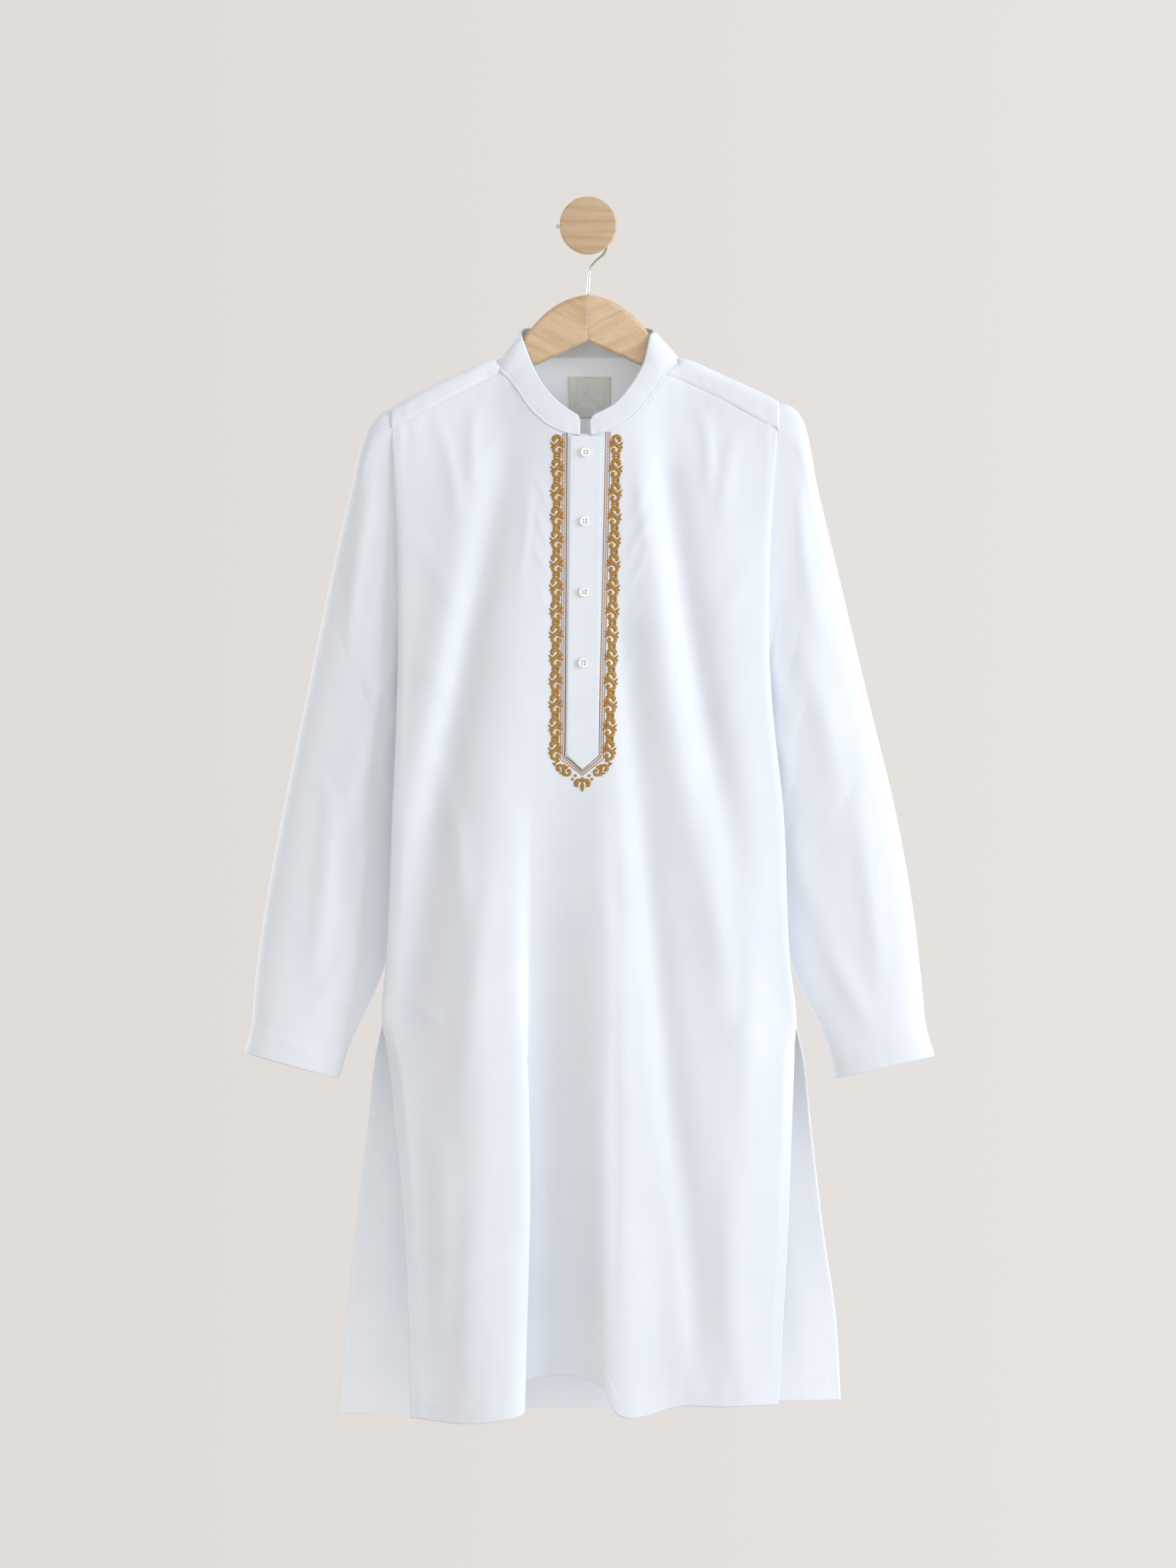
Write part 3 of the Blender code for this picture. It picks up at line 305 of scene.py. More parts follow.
FOLDS_BACK = Table(
    FOLDS_FRONT.names,
    (
        (-60, 300, -92, 700, -110, 1187, 0, 5, 9, 26, 32, 2), (6, 330, 14, 760, 20, 1187, 0, 5, 8, 30, 26, 2),
        (70, 300, 104, 700, 128, 1187, 0, 5, 9, 30, 26, 2),
    ),
)


@dataclass(frozen=True)
class Drape:
    """How the tunic hangs: the lines and folds that all its cloth pieces share."""

    underarm: float = 470.0
    slit: float = 787.0
    back_seam: float = 228.0
    fold_fade: float = 70.0
    lap_swing: float = 17.0
    lap_drops: tuple[float, float] = (640, 1000)
    lap_ridge: tuple[float, float] = (-13, 12)
    lap_trough: tuple[float, float] = (5, 8)
    valley: Table = Table("drop x", ((860, -60), (1187, -69)))
    hanger_middle: float = -36.0
    hanger_forward: float = 16.0
    hanger_half: float = 206.5
    front: Table = Table("drop left right centre_y middle_y side_y", (
        (130, 194, 187, -64, -46, -56), (200, 194, 187, -71, -62, -62), (300, 190, 181, -76, -72, -66),
        (470, 188, 180.5, -80, -77, -69), (580, 192, 191.5, -82, -80, -70), (735, 199.5, 199.5, -85, -84, -71),
        (787, 204, 206, -86, -85, -70), (840, 196, 204, -87, -86, -73), (900, 189, 201, -88, -87, -77),
        (1000, 181, 197, -89, -88, -81), (1090, 177, 192, -90, -89, -83), (1187, 175, 187, -91, -90, -84)))
    armhole: Table = Table(EDGE_COLUMNS, (
        (200, 193.5, 186.5, -61, 199, 193, -33), (228, 192, 184.5, -60.5, 197, 191, -31),
        (300, 189, 180, -59, 191, 184, -26), (390, 186, 177.5, -56, 182, 174, -29),
        (440, 179, 171, -53, 175, 167, -39), (470, 171, 163.5, -49, 171, 163.5, -49)))
    seam: Table = Table(EDGE_COLUMNS, (
        (470, 171, 163.5, -49, 171, 163.5, -49), (580, 172, 171.5, -46, 172, 171.5, -46),
        (700, 184, 184, -46, 184, 184, -46), (787, 203, 205, -52, 203, 205, -52)))
    free: Table = Table(EDGE_COLUMNS, (
        (787, 203, 205, -52, 203, 205, -52), (825, 197.5, 204, -64, 212.5, 214.5, -34),
        (900, 189, 201, -74, 221.5, 224, -18), (1000, 181, 197, -80, 233.5, 236, -13),
        (1090, 177, 192, -83, 242.5, 249, -11), (1187, 175, 187, -84, 251.5, 254, -10)))
    back: Table = Table("drop side_y middle_y", (
        (228, -25, -14), (300, -19, -12), (470, -19, -9), (735, -15, -7), (900, -11, -6), (1187, -9, -6)))
    top_left: Table = Table("x drop", ((-194, 200), (-136, 169), (NECK_LEFT, 143)))
    top_neck: Table = Table("x drop", (
        (NECK_LEFT, 143), (-77, 153), (-56, 183), (-36, 200), (-20, 206.5), (-7.5, 208.5), (1.5, 208.5), (18, 205),
        (38, 196), (52, 182), (68, 161), (NECK_RIGHT, 145)))
    top_right: Table = Table("x drop", ((NECK_RIGHT, 145), (136, 173), (187, 202)))
    hem: Table = Table("x drop", (
        (-176, 1179), (-122, 1183), (-100, 1181.5), (-82, 1175), (-68, 1164), (-58, 1147), (-41, 1141), (-7, 1139.5),
        (9, 1144), (18, 1152), (26, 1171), (34, 1176), (50, 1177), (67, 1173), (82, 1168.5), (131, 1167.5),
        (187, 1166)))
    front_creases: tuple[Crease, ...] = ()
    back_creases: tuple[Crease, ...] = ()

    def fold_offset(self, folds: Table, x: Any, drop: Any) -> Array:
        """How far the large folds bring the cloth forward.

        Args:
            folds: the panel's folds.
            x: places across.
            drop: places down.

        Returns:
            The way forward at each place.
        """
        total = np.zeros(np.broadcast(x, drop).shape)
        for row in folds.rows:
            f = dict(zip(folds.names.split(), row))
            drops, xs, depths = ([f[f"{name}_{place}"] for place in FOLD_PLACES] for name in ("drop", "x", "depth"))
            line, depth = smooth(drop, drops, xs), smooth(drop, drops, depths)
            above = np.clip((f["drop_top"] - drop) / self.fold_fade, 0, 1)
            below = np.clip((drop - f["drop_low"]) / self.fold_fade, 0, 1)
            across = x - line
            width = np.where(across < 0, f["left"], f["right"])
            shape = np.exp(-(np.abs(across / width) ** f["flatness"]))
            total = total + depth * shape * ((1 - above) * (1 - below)) ** 2
        return total

    def fold_x(self, side: Side, drop: Any) -> Array:
        """Where the front's fold line lies at one side."""
        return side.value * self.front.read(side.name.lower(), drop)

    def half_width(self, x: Array, drop: Any) -> Array:
        """The front's half width, from x = 0 to its fold line, on the side that x is on."""
        return np.where(x < 0, self.front.read("left", drop), self.front.read("right", drop))

    def front_y(self, x: Any, drop: Any) -> Array:
        """Where the front lies before it rolls back at its sides.

        Args:
            x: places across.
            drop: places down.

        Returns:
            The y of each place.
        """
        x, drop = np.broadcast_arrays(np.asarray(x, float), np.asarray(drop, float))
        across = np.abs(x) / self.half_width(x, drop)
        centre, middle, side = self.front.read_all("centre_y middle_y side_y", drop)
        near = smooth(across, (0, 0.1, 0.45, 1), (0, 0, 1, 1))
        far = smooth(across, (0, 0.45, 1), (0, 0, 1))
        base = centre + (middle - centre) * near + (side - middle) * far
        return base - self.fold_offset(FOLDS_FRONT, x, drop)

    def front_surface(self, x: Any, drop: Any) -> Array:
        """Where the front lies with its small creases."""
        x, drop = np.broadcast_arrays(np.asarray(x, float), np.asarray(drop, float))
        calm = step(np.abs(x + 4) - 14, 22, 60) + step(drop, 560, 640)
        lift = creased(self.front_creases, x, drop) + uneven(x, drop, 0.16) * np.clip(calm, 0.15, 1)
        return self.front_y(x, drop) - lift

    def lapped(self, x: Array, drop: Array) -> Array:
        """How far the left fold's edge swings over the valley beside it, towards the right.

        Args:
            x: places across.
            drop: places down.

        Returns:
            The sideways shift of each place.
        """
        beside = x - self.valley.read("x", drop)
        ridge, trough = (np.exp(-(((beside - at) / width) ** 2)) for at, width in (self.lap_ridge, self.lap_trough))
        return self.lap_swing * step(drop, *self.lap_drops) * (ridge - 0.5 * trough)

    def side_edge(self, panel: Panel, side: Side, drop: float) -> tuple[float, float]:
        """A body panel's side edge: armhole, then side seam, then the slit's free edge.

        Args:
            panel: front or back.
            side: left or right.
            drop: the place down it.

        Returns:
            The edge's x and y.
        """
        table = self.armhole if drop < self.underarm else self.seam if drop < self.slit else self.free
        x = side.value * float(table.read(f"{panel.value}_{side.name.lower()}", drop))
        return x, float(table.read(f"{panel.value}_y", drop))

    def front_side(self, side: Side, drop: float, stations: Array) -> Array:
        """Points from the front's face round its fold and back to its side edge.

        Args:
            side: left or right.
            drop: the place down it.
            stations: where to read the roll, from 0 to 3.

        Returns:
            One point for each station.
        """
        sign = side.value
        fold = float(self.fold_x(side, drop))
        edge_x, edge_y = self.side_edge(Panel.FRONT, side, drop)
        start_x = fold - sign * SIDE_MARGIN
        start_y = float(self.front_surface(start_x, drop))
        roll = ROLL_DEPTH * float(np.clip((drop - 200) / ROLL_START, 0, 1))
        start, edge = np.array((start_x, start_y)), np.array((edge_x, edge_y))
        rolled = np.array([start, (fold - sign * 2, start_y + roll / 3), (fold, start_y + roll), edge])
        flat = start + (edge - start) * np.arange(4)[:, None] / 3
        share = float(np.clip((drop - self.slit) / FREE_BLEND, 0, 1))
        places = rolled + (flat - rolled) * share
        xs, ys = smooth(stations, range(4), places[:, 0]), smooth(stations, range(4), places[:, 1])
        return np.stack([xs, ys, np.full(len(xs), -drop)], axis=-1)

    def top_drop(self, x: Any) -> Array:
        """The drop of the front's top edge."""
        x = np.asarray(x, float)
        left, neck, right = (t.read("drop", x, along="x") for t in (self.top_left, self.top_neck, self.top_right))
        return np.where(x <= NECK_LEFT, left, np.where(x < NECK_RIGHT, neck, right))

    def back_y(self, across: Any, x: Any, drop: Any, edge_y: Any) -> Array:
        """Where the back lies.

        Args:
            across: shares of the way from its middle to its side.
            x: places across.
            drop: the place down.
            edge_y: its side edge's y.

        Returns:
            The y of each place.
        """
        side, middle = self.back.read_all("side_y middle_y", drop)
        base = middle + (side - middle) * np.clip((np.abs(across) - 0.35) / 0.5, 0, 1) ** 2
        base = base + (edge_y - side) * np.clip((np.abs(across) - 0.78) / 0.22, 0, 1) ** 2
        fade = np.clip((1 - np.abs(across)) / 0.2, 0, 1)
        return base - self.fold_offset(FOLDS_BACK, x, drop) * fade

    def hanger_y(self, x: float) -> float:
        """The hanger's middle plane, which curves forward to its ends."""
        return self.hanger_middle - self.hanger_forward * (abs(x) / self.hanger_half) ** 2


# ---- meshes of cloth
def quads(rows: int, columns: int, closed: bool) -> tuple[Array, Array, Array]:
    """The faces of a grid.

    Args:
        rows: its rows.
        columns: its columns.
        closed: whether its last column joins its first.

    Returns:
        Each face's four points, its row and its column.
    """
    r, c = np.meshgrid(np.arange(rows - 1), np.arange(columns if closed else columns - 1), indexing="ij")
    r, c = r.ravel(), c.ravel()
    n = (c + 1) % columns
    return np.stack([r * columns + c, (r + 1) * columns + c, (r + 1) * columns + n, r * columns + n], axis=-1), r, c


@dataclass
class Sheet:
    """A grid of cloth points: rows down the cloth, columns across it or round a tube."""

    points: Array
    closed: bool = False
    outward: int = 1

    def grid(self) -> Array:
        """The points, with a tube's first column repeated at its end."""
        if self.closed:
            return np.concatenate([self.points, self.points[:, :1]], axis=1)
        return self.points

    def normals(self) -> Array:
        """The outward normal at each point of the grid."""
        grid = self.grid()
        down, across = np.gradient(grid, axis=0), np.gradient(grid, axis=1)
        if self.closed:
            ends = (grid[:, 1] - grid[:, -2]) / 2
            across[:, 0], across[:, -1] = ends, ends
        return unit(np.cross(down, across) * self.outward)

    def turned_out(self) -> "Sheet":
        """The same grid, with its normals away from its middle line."""
        away = self.points - self.points.mean(axis=1 if self.closed else (0, 1), keepdims=True)
        inward = np.mean(np.sum(self.normals()[:, : away.shape[1]] * away, axis=-1)) < 0
        return Sheet(self.points, self.closed, -self.outward) if inward else self

    def uv(self) -> Array:
        """Distances across and down the cloth, in metres, for its weave."""
        grid = self.grid()
        across = np.cumsum(np.linalg.norm(np.diff(grid, axis=1), axis=-1), axis=1)
        across = np.concatenate([np.zeros((len(grid), 1)), across], axis=1)
        down = np.cumsum(np.linalg.norm(np.diff(grid, axis=0), axis=-1), axis=0)
        down = np.concatenate([np.zeros((1, grid.shape[1])), down], axis=0)
        middle = across[:, grid.shape[1] // 2][:, None]
        return np.stack([across - middle, 0 * down - down.mean(axis=1, keepdims=True)], axis=-1) * MM

    def run(self, edge: Edge, distance: float, start: float = 0.0, end: float = 1.0) -> tuple[Array, Array]:
        """A line at an even distance from one edge, with its normals.

        Args:
            edge: the edge that the line follows.
            distance: how far from it.
            start: the share of the edge where it starts.
            end: the share where it ends.

        Returns:
            Its points and their outward normals.
        """
        grid, normals = self.grid(), self.normals()
        if edge in (Edge.FIRST_COLUMN, Edge.LAST_COLUMN):
            grid, normals = grid.transpose(1, 0, 2), normals.transpose(1, 0, 2)
        if edge in (Edge.LAST_ROW, Edge.LAST_COLUMN):
            grid, normals = grid[::-1], normals[::-1]
        count = grid.shape[1]
        first, last = int(round(start * (count - 1))), int(round(end * (count - 1)))
        line, ups = [], []
        for column in range(first, last + 1):
            chain = grid[:, column]
            at = float(np.interp(distance, lengths_of(chain), np.arange(len(chain))))
            low = int(min(at, len(chain) - 2))
            line.append(chain[low] + (chain[low + 1] - chain[low]) * (at - low))
            ups.append(normals[low, column])
        return np.array(line), np.array(ups)

    def build(self, name: str, finish: "Finish", wall: float = CLOTH_WALL) -> Piece:
        """Make the cloth as an object with a wall.

        Args:
            name: the piece's name.
            finish: its material.
            wall: its thickness.

        Returns:
            The finished piece.
        """
        faces, r, c = quads(*self.points.shape[:2], self.closed)
        uv = self.uv()
        places = np.stack([uv[r, c], uv[r + 1, c], uv[r + 1, c + 1], uv[r, c + 1]], axis=1)
        mesh = bpy.data.meshes.new(name)
        mesh.from_pydata((self.points.reshape(-1, 3) * MM).tolist(), [], faces[:, :: self.outward].tolist())
        layer = mesh.uv_layers.new(name="cloth")
        layer.data.foreach_set("uv", places[:, :: self.outward].reshape(-1).astype(np.float32))
        mesh.materials.append(finish.material())
        obj = set_out(name, mesh)
        wall_modifier = obj.modifiers.new("wall", "SOLIDIFY")
        wall_modifier.thickness, wall_modifier.offset = wall * MM, 0.0
        use_modifier(obj, wall_modifier)
        obj.data.shade_smooth()
        return obj


def set_out(name: str, data: bpy.types.ID) -> Piece:
    """Put a mesh, a light or a camera in the scene."""
    obj = bpy.data.objects.new(name, data)
    bpy.context.scene.collection.objects.link(obj)
    return obj


def use_modifier(obj: Piece, modifier: bpy.types.Modifier) -> None:
    """Apply one modifier of an object."""
    alone(obj)
    bpy.ops.object.modifier_apply(modifier=modifier.name)


def ease(obj: Piece, width: float, segments: int, angle: float) -> None:
    """Round the edges at which an object's faces turn by more than an angle in degrees."""
    edge = obj.modifiers.new("eased", "BEVEL")
    edge.width, edge.segments, edge.limit_method, edge.angle_limit = width, segments, "ANGLE", math.radians(angle)
    use_modifier(obj, edge)


def shade_by_angle(obj: Piece, angle: float) -> None:
    """Shade an object smooth, except where its faces turn by more than an angle in degrees."""
    alone(obj)
    bpy.ops.object.shade_smooth_by_angle(angle=math.radians(angle))


def close_edit() -> None:
    """Leave edit mode."""
    bpy.ops.object.mode_set(mode="OBJECT")


def edit_all(obj: Piece) -> None:
    """Open edit mode on an object, with all of it selected."""
    alone(obj)
    bpy.ops.object.mode_set(mode="EDIT")
    bpy.ops.mesh.select_all(action="SELECT")


def taken_apart(obj: Piece) -> tuple[Array, list[list[int]]]:
    """An object's points and faces; the object itself is removed."""
    points = np.array([v.co[:] for v in obj.data.vertices])
    faces = [list(p.vertices) for p in obj.data.polygons]
    bpy.data.objects.remove(obj, do_unlink=True)
    return points, faces


def alone(obj: Piece | None = None) -> None:
    """Deselect everything, and select and make active one object if it is given."""
    if bpy.context.mode != "OBJECT":
        close_edit()
    bpy.ops.object.select_all(action="DESELECT")
    if obj is not None:
        obj.select_set(True)
        bpy.context.view_layer.objects.active = obj


def mesh_piece(name: str, points: Array, faces: Sequence[Sequence[int]], finish: "Finish") -> Piece:
    """Make a smooth piece from points in millimetres.

    Args:
        name: the piece's name.
        points: its points.
        faces: its faces, facing outwards.
        finish: its material.

    Returns:
        The piece.
    """
    mesh = bpy.data.meshes.new(name)
    mesh.from_pydata((np.asarray(points) * MM).tolist(), [], faces)
    mesh.materials.append(finish.material())
    mesh.shade_smooth()
    return set_out(name, mesh)


def tell(piece: Piece, slot: str, *nodes: str) -> Piece:
    """Let a piece ride on the root body, hide the CAD nodes that it stands for, and log it."""
    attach(piece, "root")
    if nodes:
        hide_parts(*nodes)
    LOG.info("%s: %d faces", piece.name, len(piece.data.polygons))
    return piece


# ---- finishes
def linear(colour: str) -> tuple[float, float, float, float]:
    """Turn an sRGB hex colour to linear red, green, blue and alpha."""
    parts = [int(colour[k : k + 2], 16) / 255 for k in (1, 3, 5)]
    return (*[p / 12.92 if p <= 0.04045 else ((p + 0.055) / 1.055) ** 2.4 for p in parts], 1.0)


def lead(tree: Tree, node: bpy.types.Node, inputs: dict[Any, Any]) -> None:
    """Give a node's inputs, by name or number, their values or the outputs that they follow."""
    for name, value in inputs.items():
        if isinstance(value, Socket):
            tree.links.new(value, node.inputs[name])
        else:
            node.inputs[name].default_value = value


def add_node(tree: Tree, kind: str, inputs: Any = None, out: Any = 0, stops: Any = (), **settings: Any) -> Socket:
    """Add one node, with its settings and links.

    Args:
        tree: the material's nodes.
        kind: the node's type, without "ShaderNode".
        inputs: values or outputs, for its inputs by name or number.
        out: the name or number of the output that is used.
        stops: a colour ramp's places from 0 to 1 and hex colours.
        settings: its own settings.

    Returns:
        That output.
    """
    node = tree.nodes.new(f"ShaderNode{kind}")
    for name, value in settings.items():
        setattr(node, name, value)
    lead(tree, node, inputs or {})
    for index, (place, colour) in enumerate(stops):
        element = node.color_ramp.elements[index]
        element.position, element.color = place, linear(colour)
    return node.outputs[out]


@dataclass(frozen=True)
class Finish:
    """What every finish shares: its name, how rough it is, and its shader's steady settings."""

    name: str
    roughness: float = 0.5
    metallic: float = 0.0
    ior: float = 1.5
    steady: tuple[tuple[str, float], ...] = ()

    def material(self) -> bpy.types.Material:
        """The finish as a material, made once."""
        found = bpy.data.materials.get(self.name)
        if found is not None:
            return found
        made = bpy.data.materials.new(self.name)
        made.use_nodes = True
        tree = made.node_tree
        settings = {"Roughness": self.roughness, "Metallic": self.metallic, **dict(self.steady), **self.dress(tree)}
        if not self.metallic:
            settings["IOR"] = self.ior
        lead(tree, tree.nodes["Principled BSDF"], settings)
        return made

    def dress(self, tree: Tree) -> dict[str, Any]:
        """Add the finish's own pattern, and give what the shader takes from it."""
        raise NotImplementedError


@dataclass(frozen=True)
class CottonPoplin(Finish):
    """Bleached cotton poplin, plain woven of fine yarn and pressed: matt, with a faint bloom and slubs.

    Real yarn lies about 0.25 mm apart, too fine to show, so the weave is drawn at 0.9 mm. Poplin this thin lets
    light through; an emission, which is painted light, brightens the inner face of the tunic's rear half where it
    faces the front, standing in for light through the cloth and for the room's soft fill in the shade between front and
    back.
    """

    colour: str = "#E0E6ED"
    shade: str = "#DDE3EB"
    thread: float = 0.9
    relief: float = 0.06
    # Painted light: the emission's strength, its warm colour and the y over which it comes in on the rear half.
    painted_glow: float = 0.155
    through: str = "#F3F1EE"
    painted_glow_from: float = -0.056
    painted_glow_to: float = -0.03

    def dress(self, tree: Tree) -> dict[str, Any]:
        """Warp and weft as two crossed ribs, slubs as long noise, cloudy pressing, and painted light on the rear half's
        front-facing faces.
        """
        uv = add_node(tree, "UVMap", uv_map="cloth")
        rib = {"Vector": uv, "Scale": bands(self.thread), "Distortion": 1.2, "Detail": 1.0, "Detail Scale": 2.0}
        warp, weft = (add_node(tree, "TexWave", rib, "Fac", bands_direction=axis) for axis in "XY")
        drawn = add_node(tree, "Mapping", {"Vector": uv, "Scale": cells(33.333, 1.1111, 1000)})
        slub = add_node(tree, "TexNoise", {"Vector": drawn, "Scale": 1.0})
        cloud = add_node(tree, "TexNoise", {"Vector": uv, "Scale": cells(71.43), "Detail": 3.0, "Roughness": 0.6})
        colour = add_node(tree, "ValToRGB", {"Fac": cloud}, stops=((0.3, self.shade), (0.62, self.colour)))
        weave = add_node(tree, "Math", {0: warp, 1: weft}, operation="MULTIPLY")
        height = add_node(tree, "Math", {0: weave, 1: slub}, operation="ADD")
        bump = add_node(tree, "Bump", {"Height": height, "Strength": 0.35, "Distance": self.relief * MM})
        reads = []
        # Painted light: the emission follows a mask of the rear half's y and of faces turned to the front.
        for kind, low, high, most in (("Object", self.painted_glow_from, self.painted_glow_to, self.painted_glow), ("Normal", 0.1, -0.4, 1.0)):
            y = add_node(tree, "SeparateXYZ", {"Vector": add_node(tree, "TexCoord", out=kind)}, "Y")
            reads.append(add_node(tree, "MapRange", {"Value": y, "From Min": low, "From Max": high, "To Max": most}))
        painted_glow = add_node(tree, "Math", dict(enumerate(reads)), operation="MULTIPLY")
        through = linear(self.through)
        return {"Base Color": colour, "Normal": bump, "Emission Strength": painted_glow, "Emission Color": through}


@dataclass(frozen=True)
class SatinStitch(Finish):
    """Rayon embroidery thread laid side by side in satin stitch: it shines along the threads.

    Real thread is about 0.4 mm across, and its ribs are drawn at that. Its tone changes every 0.7 mm. The
    colour also darkens in the grooves between threads, which is painted shade.
    """

    light: str = "#CD9A3C"
    dark: str = "#6B4D13"
    thread: float = 0.42
    relief: float = 0.12

    def dress(self, tree: Tree) -> dict[str, Any]:
        """Ribs across the ribbon, with painted shade in the grooves between threads and tone that changes from thread
        to thread.
        """
        uv = add_node(tree, "UVMap", uv_map="thread")
        rib = {"Vector": uv, "Scale": bands(self.thread), "Distortion": 0.6, "Detail": 1.0}
        ribs = add_node(tree, "TexWave", rib, "Fac", bands_direction="X")
        drawn = add_node(tree, "Mapping", {"Vector": uv, "Scale": cells(0.71429, 5, 1000)})
        tone = add_node(tree, "TexNoise", {"Vector": drawn, "Scale": 1.0, "Detail": 1.0})
        depth = add_node(tree, "Math", {0: ribs, 1: tone}, operation="MULTIPLY")
        # The ribs drive the colour as well as the bump: the ramp's dark end is painted shade in the grooves.
        colour = add_node(tree, "ValToRGB", {"Fac": depth}, stops=((0.05, self.dark), (0.42, self.light)))
        bump = add_node(tree, "Bump", {"Height": ribs, "Strength": 0.6, "Distance": self.relief * MM})
        return {"Base Color": colour, "Normal": bump}


@dataclass(frozen=True)
class SewingThread(Finish):
    """Spun polyester sewing thread, twisted: soft, with a slight gloss."""

    colour: str = "#F4F7FB"
    shade: str = "#E6EBF2"

    def dress(self, tree: Tree) -> dict[str, Any]:
        """Slanting twist drawn as fine noise."""
        place = add_node(tree, "TexCoord", out="Object")
        twist = add_node(tree, "TexNoise", {"Vector": place, "Scale": cells(0.55556), "Detail": 1.0})
        colour = add_node(tree, "ValToRGB", {"Fac": twist}, stops=((0.35, self.shade), (0.6, self.colour)))
        return {"Base Color": colour}


@dataclass(frozen=True)
class WovenLabel(Finish):
    """Damask label cloth, woven of polyester satin: smooth, with a sheen across its ribs, and blank."""

    colour: str = "#E3E8E1"
    shade: str = "#D7DDD5"

    def dress(self, tree: Tree) -> dict[str, Any]:
        """Fine satin ribs 0.5 mm apart and a slight cloudiness."""
        uv = add_node(tree, "UVMap", uv_map="cloth")
        cloud = add_node(tree, "TexNoise", {"Vector": uv, "Scale": cells(8.3333), "Detail": 3.0})
        colour = add_node(tree, "ValToRGB", {"Fac": cloud}, stops=((0.35, self.shade), (0.65, self.colour)))
        rib = {"Vector": uv, "Scale": bands(0.5), "Distortion": 0.5}
        ribs = add_node(tree, "TexWave", rib, "Fac", bands_direction="Y")
        bump = add_node(tree, "Bump", {"Height": ribs, "Strength": 0.4, "Distance": 0.05 * MM})
        return {"Base Color": colour, "Normal": bump}


@dataclass(frozen=True)
class PearlButton(Finish):
    """Polyester resin button, cast with pearl pigment and tumbled: glossy, with soft swirls."""

    colour: str = "#FAF9F8"
    shade: str = "#EAEAE9"

    def dress(self, tree: Tree) -> dict[str, Any]:
        """Swirls a few millimetres across."""
        place = add_node(tree, "TexCoord", out="Object")
        swirl = add_node(tree, "TexNoise", {"Vector": place, "Scale": cells(3.8462), "Distortion": 1.6})
        colour = add_node(tree, "ValToRGB", {"Fac": swirl}, stops=((0.35, self.shade), (0.62, self.colour)))
        return {"Base Color": colour}


@dataclass(frozen=True)
class LacqueredBeech(Finish):
    """Steamed beech, sanded and given thin clear lacquer: pale, with close grain and short dark flecks.

    The growth figure is about 7 mm wide, the flecks 2.6 by 0.4 mm and the pores 17 by 0.7 mm.
    """

    light: str = "#D9BF9F"
    dark: str = "#C9AC86"
    fleck: str = "#B59470"
    turn: float = 0.0

    def dress(self, tree: Tree) -> dict[str, Any]:
        """Rings and flecks drawn out along the grain, which runs along X turned about Y."""
        turn = (0.0, math.radians(self.turn), 0.0)
        wood = add_node(tree, "Mapping", {"Vector": add_node(tree, "TexCoord", out="Object"), "Rotation": turn})
        grain = []
        for length, width, more in (
            (83.333, 6.6667, {"Detail": 4.0, "Roughness": 0.55, "Distortion": 0.35}),
            (2.6316, 0.38462, {"Detail": 0.0}),
            (16.667, 0.66667, {}),
        ):
            drawn = add_node(tree, "Mapping", {"Vector": wood, "Scale": cells(length, width, width)})
            grain.append(add_node(tree, "TexNoise", {"Vector": drawn, "Scale": 1.0, **more}))
        rings, flecks, pores = grain
        colour = add_node(tree, "ValToRGB", {"Fac": rings}, stops=((0.35, self.dark), (0.6, self.light)))
        for spots, low, high, most in ((flecks, 0.64, 0.74, 0.55), (pores, 0.5, 0.8, 0.3)):
            share = add_node(tree, "MapRange", {"Value": spots, "From Min": low, "From Max": high, "To Max": most})
            colour = add_node(tree, "Mix", {0: share, 6: colour, 7: linear(self.fleck)}, 2, data_type="RGBA")
        bump = add_node(tree, "Bump", {"Height": pores, "Strength": 0.12, "Distance": 0.05 * MM})
        return {"Base Color": colour, "Normal": bump}


@dataclass(frozen=True)
class NickelPlate(Finish):
    """Bright nickel plate on drawn steel wire: a warm mirror with faint lines from the drawing."""

    colour: str = "#E0DCD6"
    worn: str = "#C4C0B9"

    def dress(self, tree: Tree) -> dict[str, Any]:
        """Slight patches of duller plate, and their roughness."""
        place = add_node(tree, "TexCoord", out="Object")
        patches = add_node(tree, "TexNoise", {"Vector": place, "Scale": cells(2.8571), "Detail": 3.0})
        colour = add_node(tree, "ValToRGB", {"Fac": patches}, stops=((0.35, self.worn), (0.6, self.colour)))
        dull = add_node(tree, "MapRange", {"Value": patches, "To Min": 0.34, "To Max": 0.18})
        return {"Base Color": colour, "Roughness": dull}


@dataclass(frozen=True)
class StudioPaint(Finish):
    """Matt emulsion on the studio floor: even, with hardly any grain."""

    colour: str = "#E4E0DC"
    shade: str = "#E1DDD9"

    def dress(self, tree: Tree) -> dict[str, Any]:
        """A faint mottle from the roller."""
        place = add_node(tree, "TexCoord", out="Object")
        mottle = add_node(tree, "TexNoise", {"Vector": place, "Scale": cells(16.667)})
        colour = add_node(tree, "ValToRGB", {"Fac": mottle}, stops=((0.3, self.shade), (0.7, self.colour)))
        return {"Base Color": colour}


PRESSED = (("Sheen Weight", 0.08), ("Sheen Roughness", 0.5), ("Specular IOR Level", 0.25))
LACQUER = (("Coat Weight", 0.15), ("Coat Roughness", 0.3))
THIN_LACQUER = (("Coat Weight", 0.12), ("Coat Roughness", 0.3))
COTTON = CottonPoplin("bleached_cotton_poplin", 0.82, steady=PRESSED)
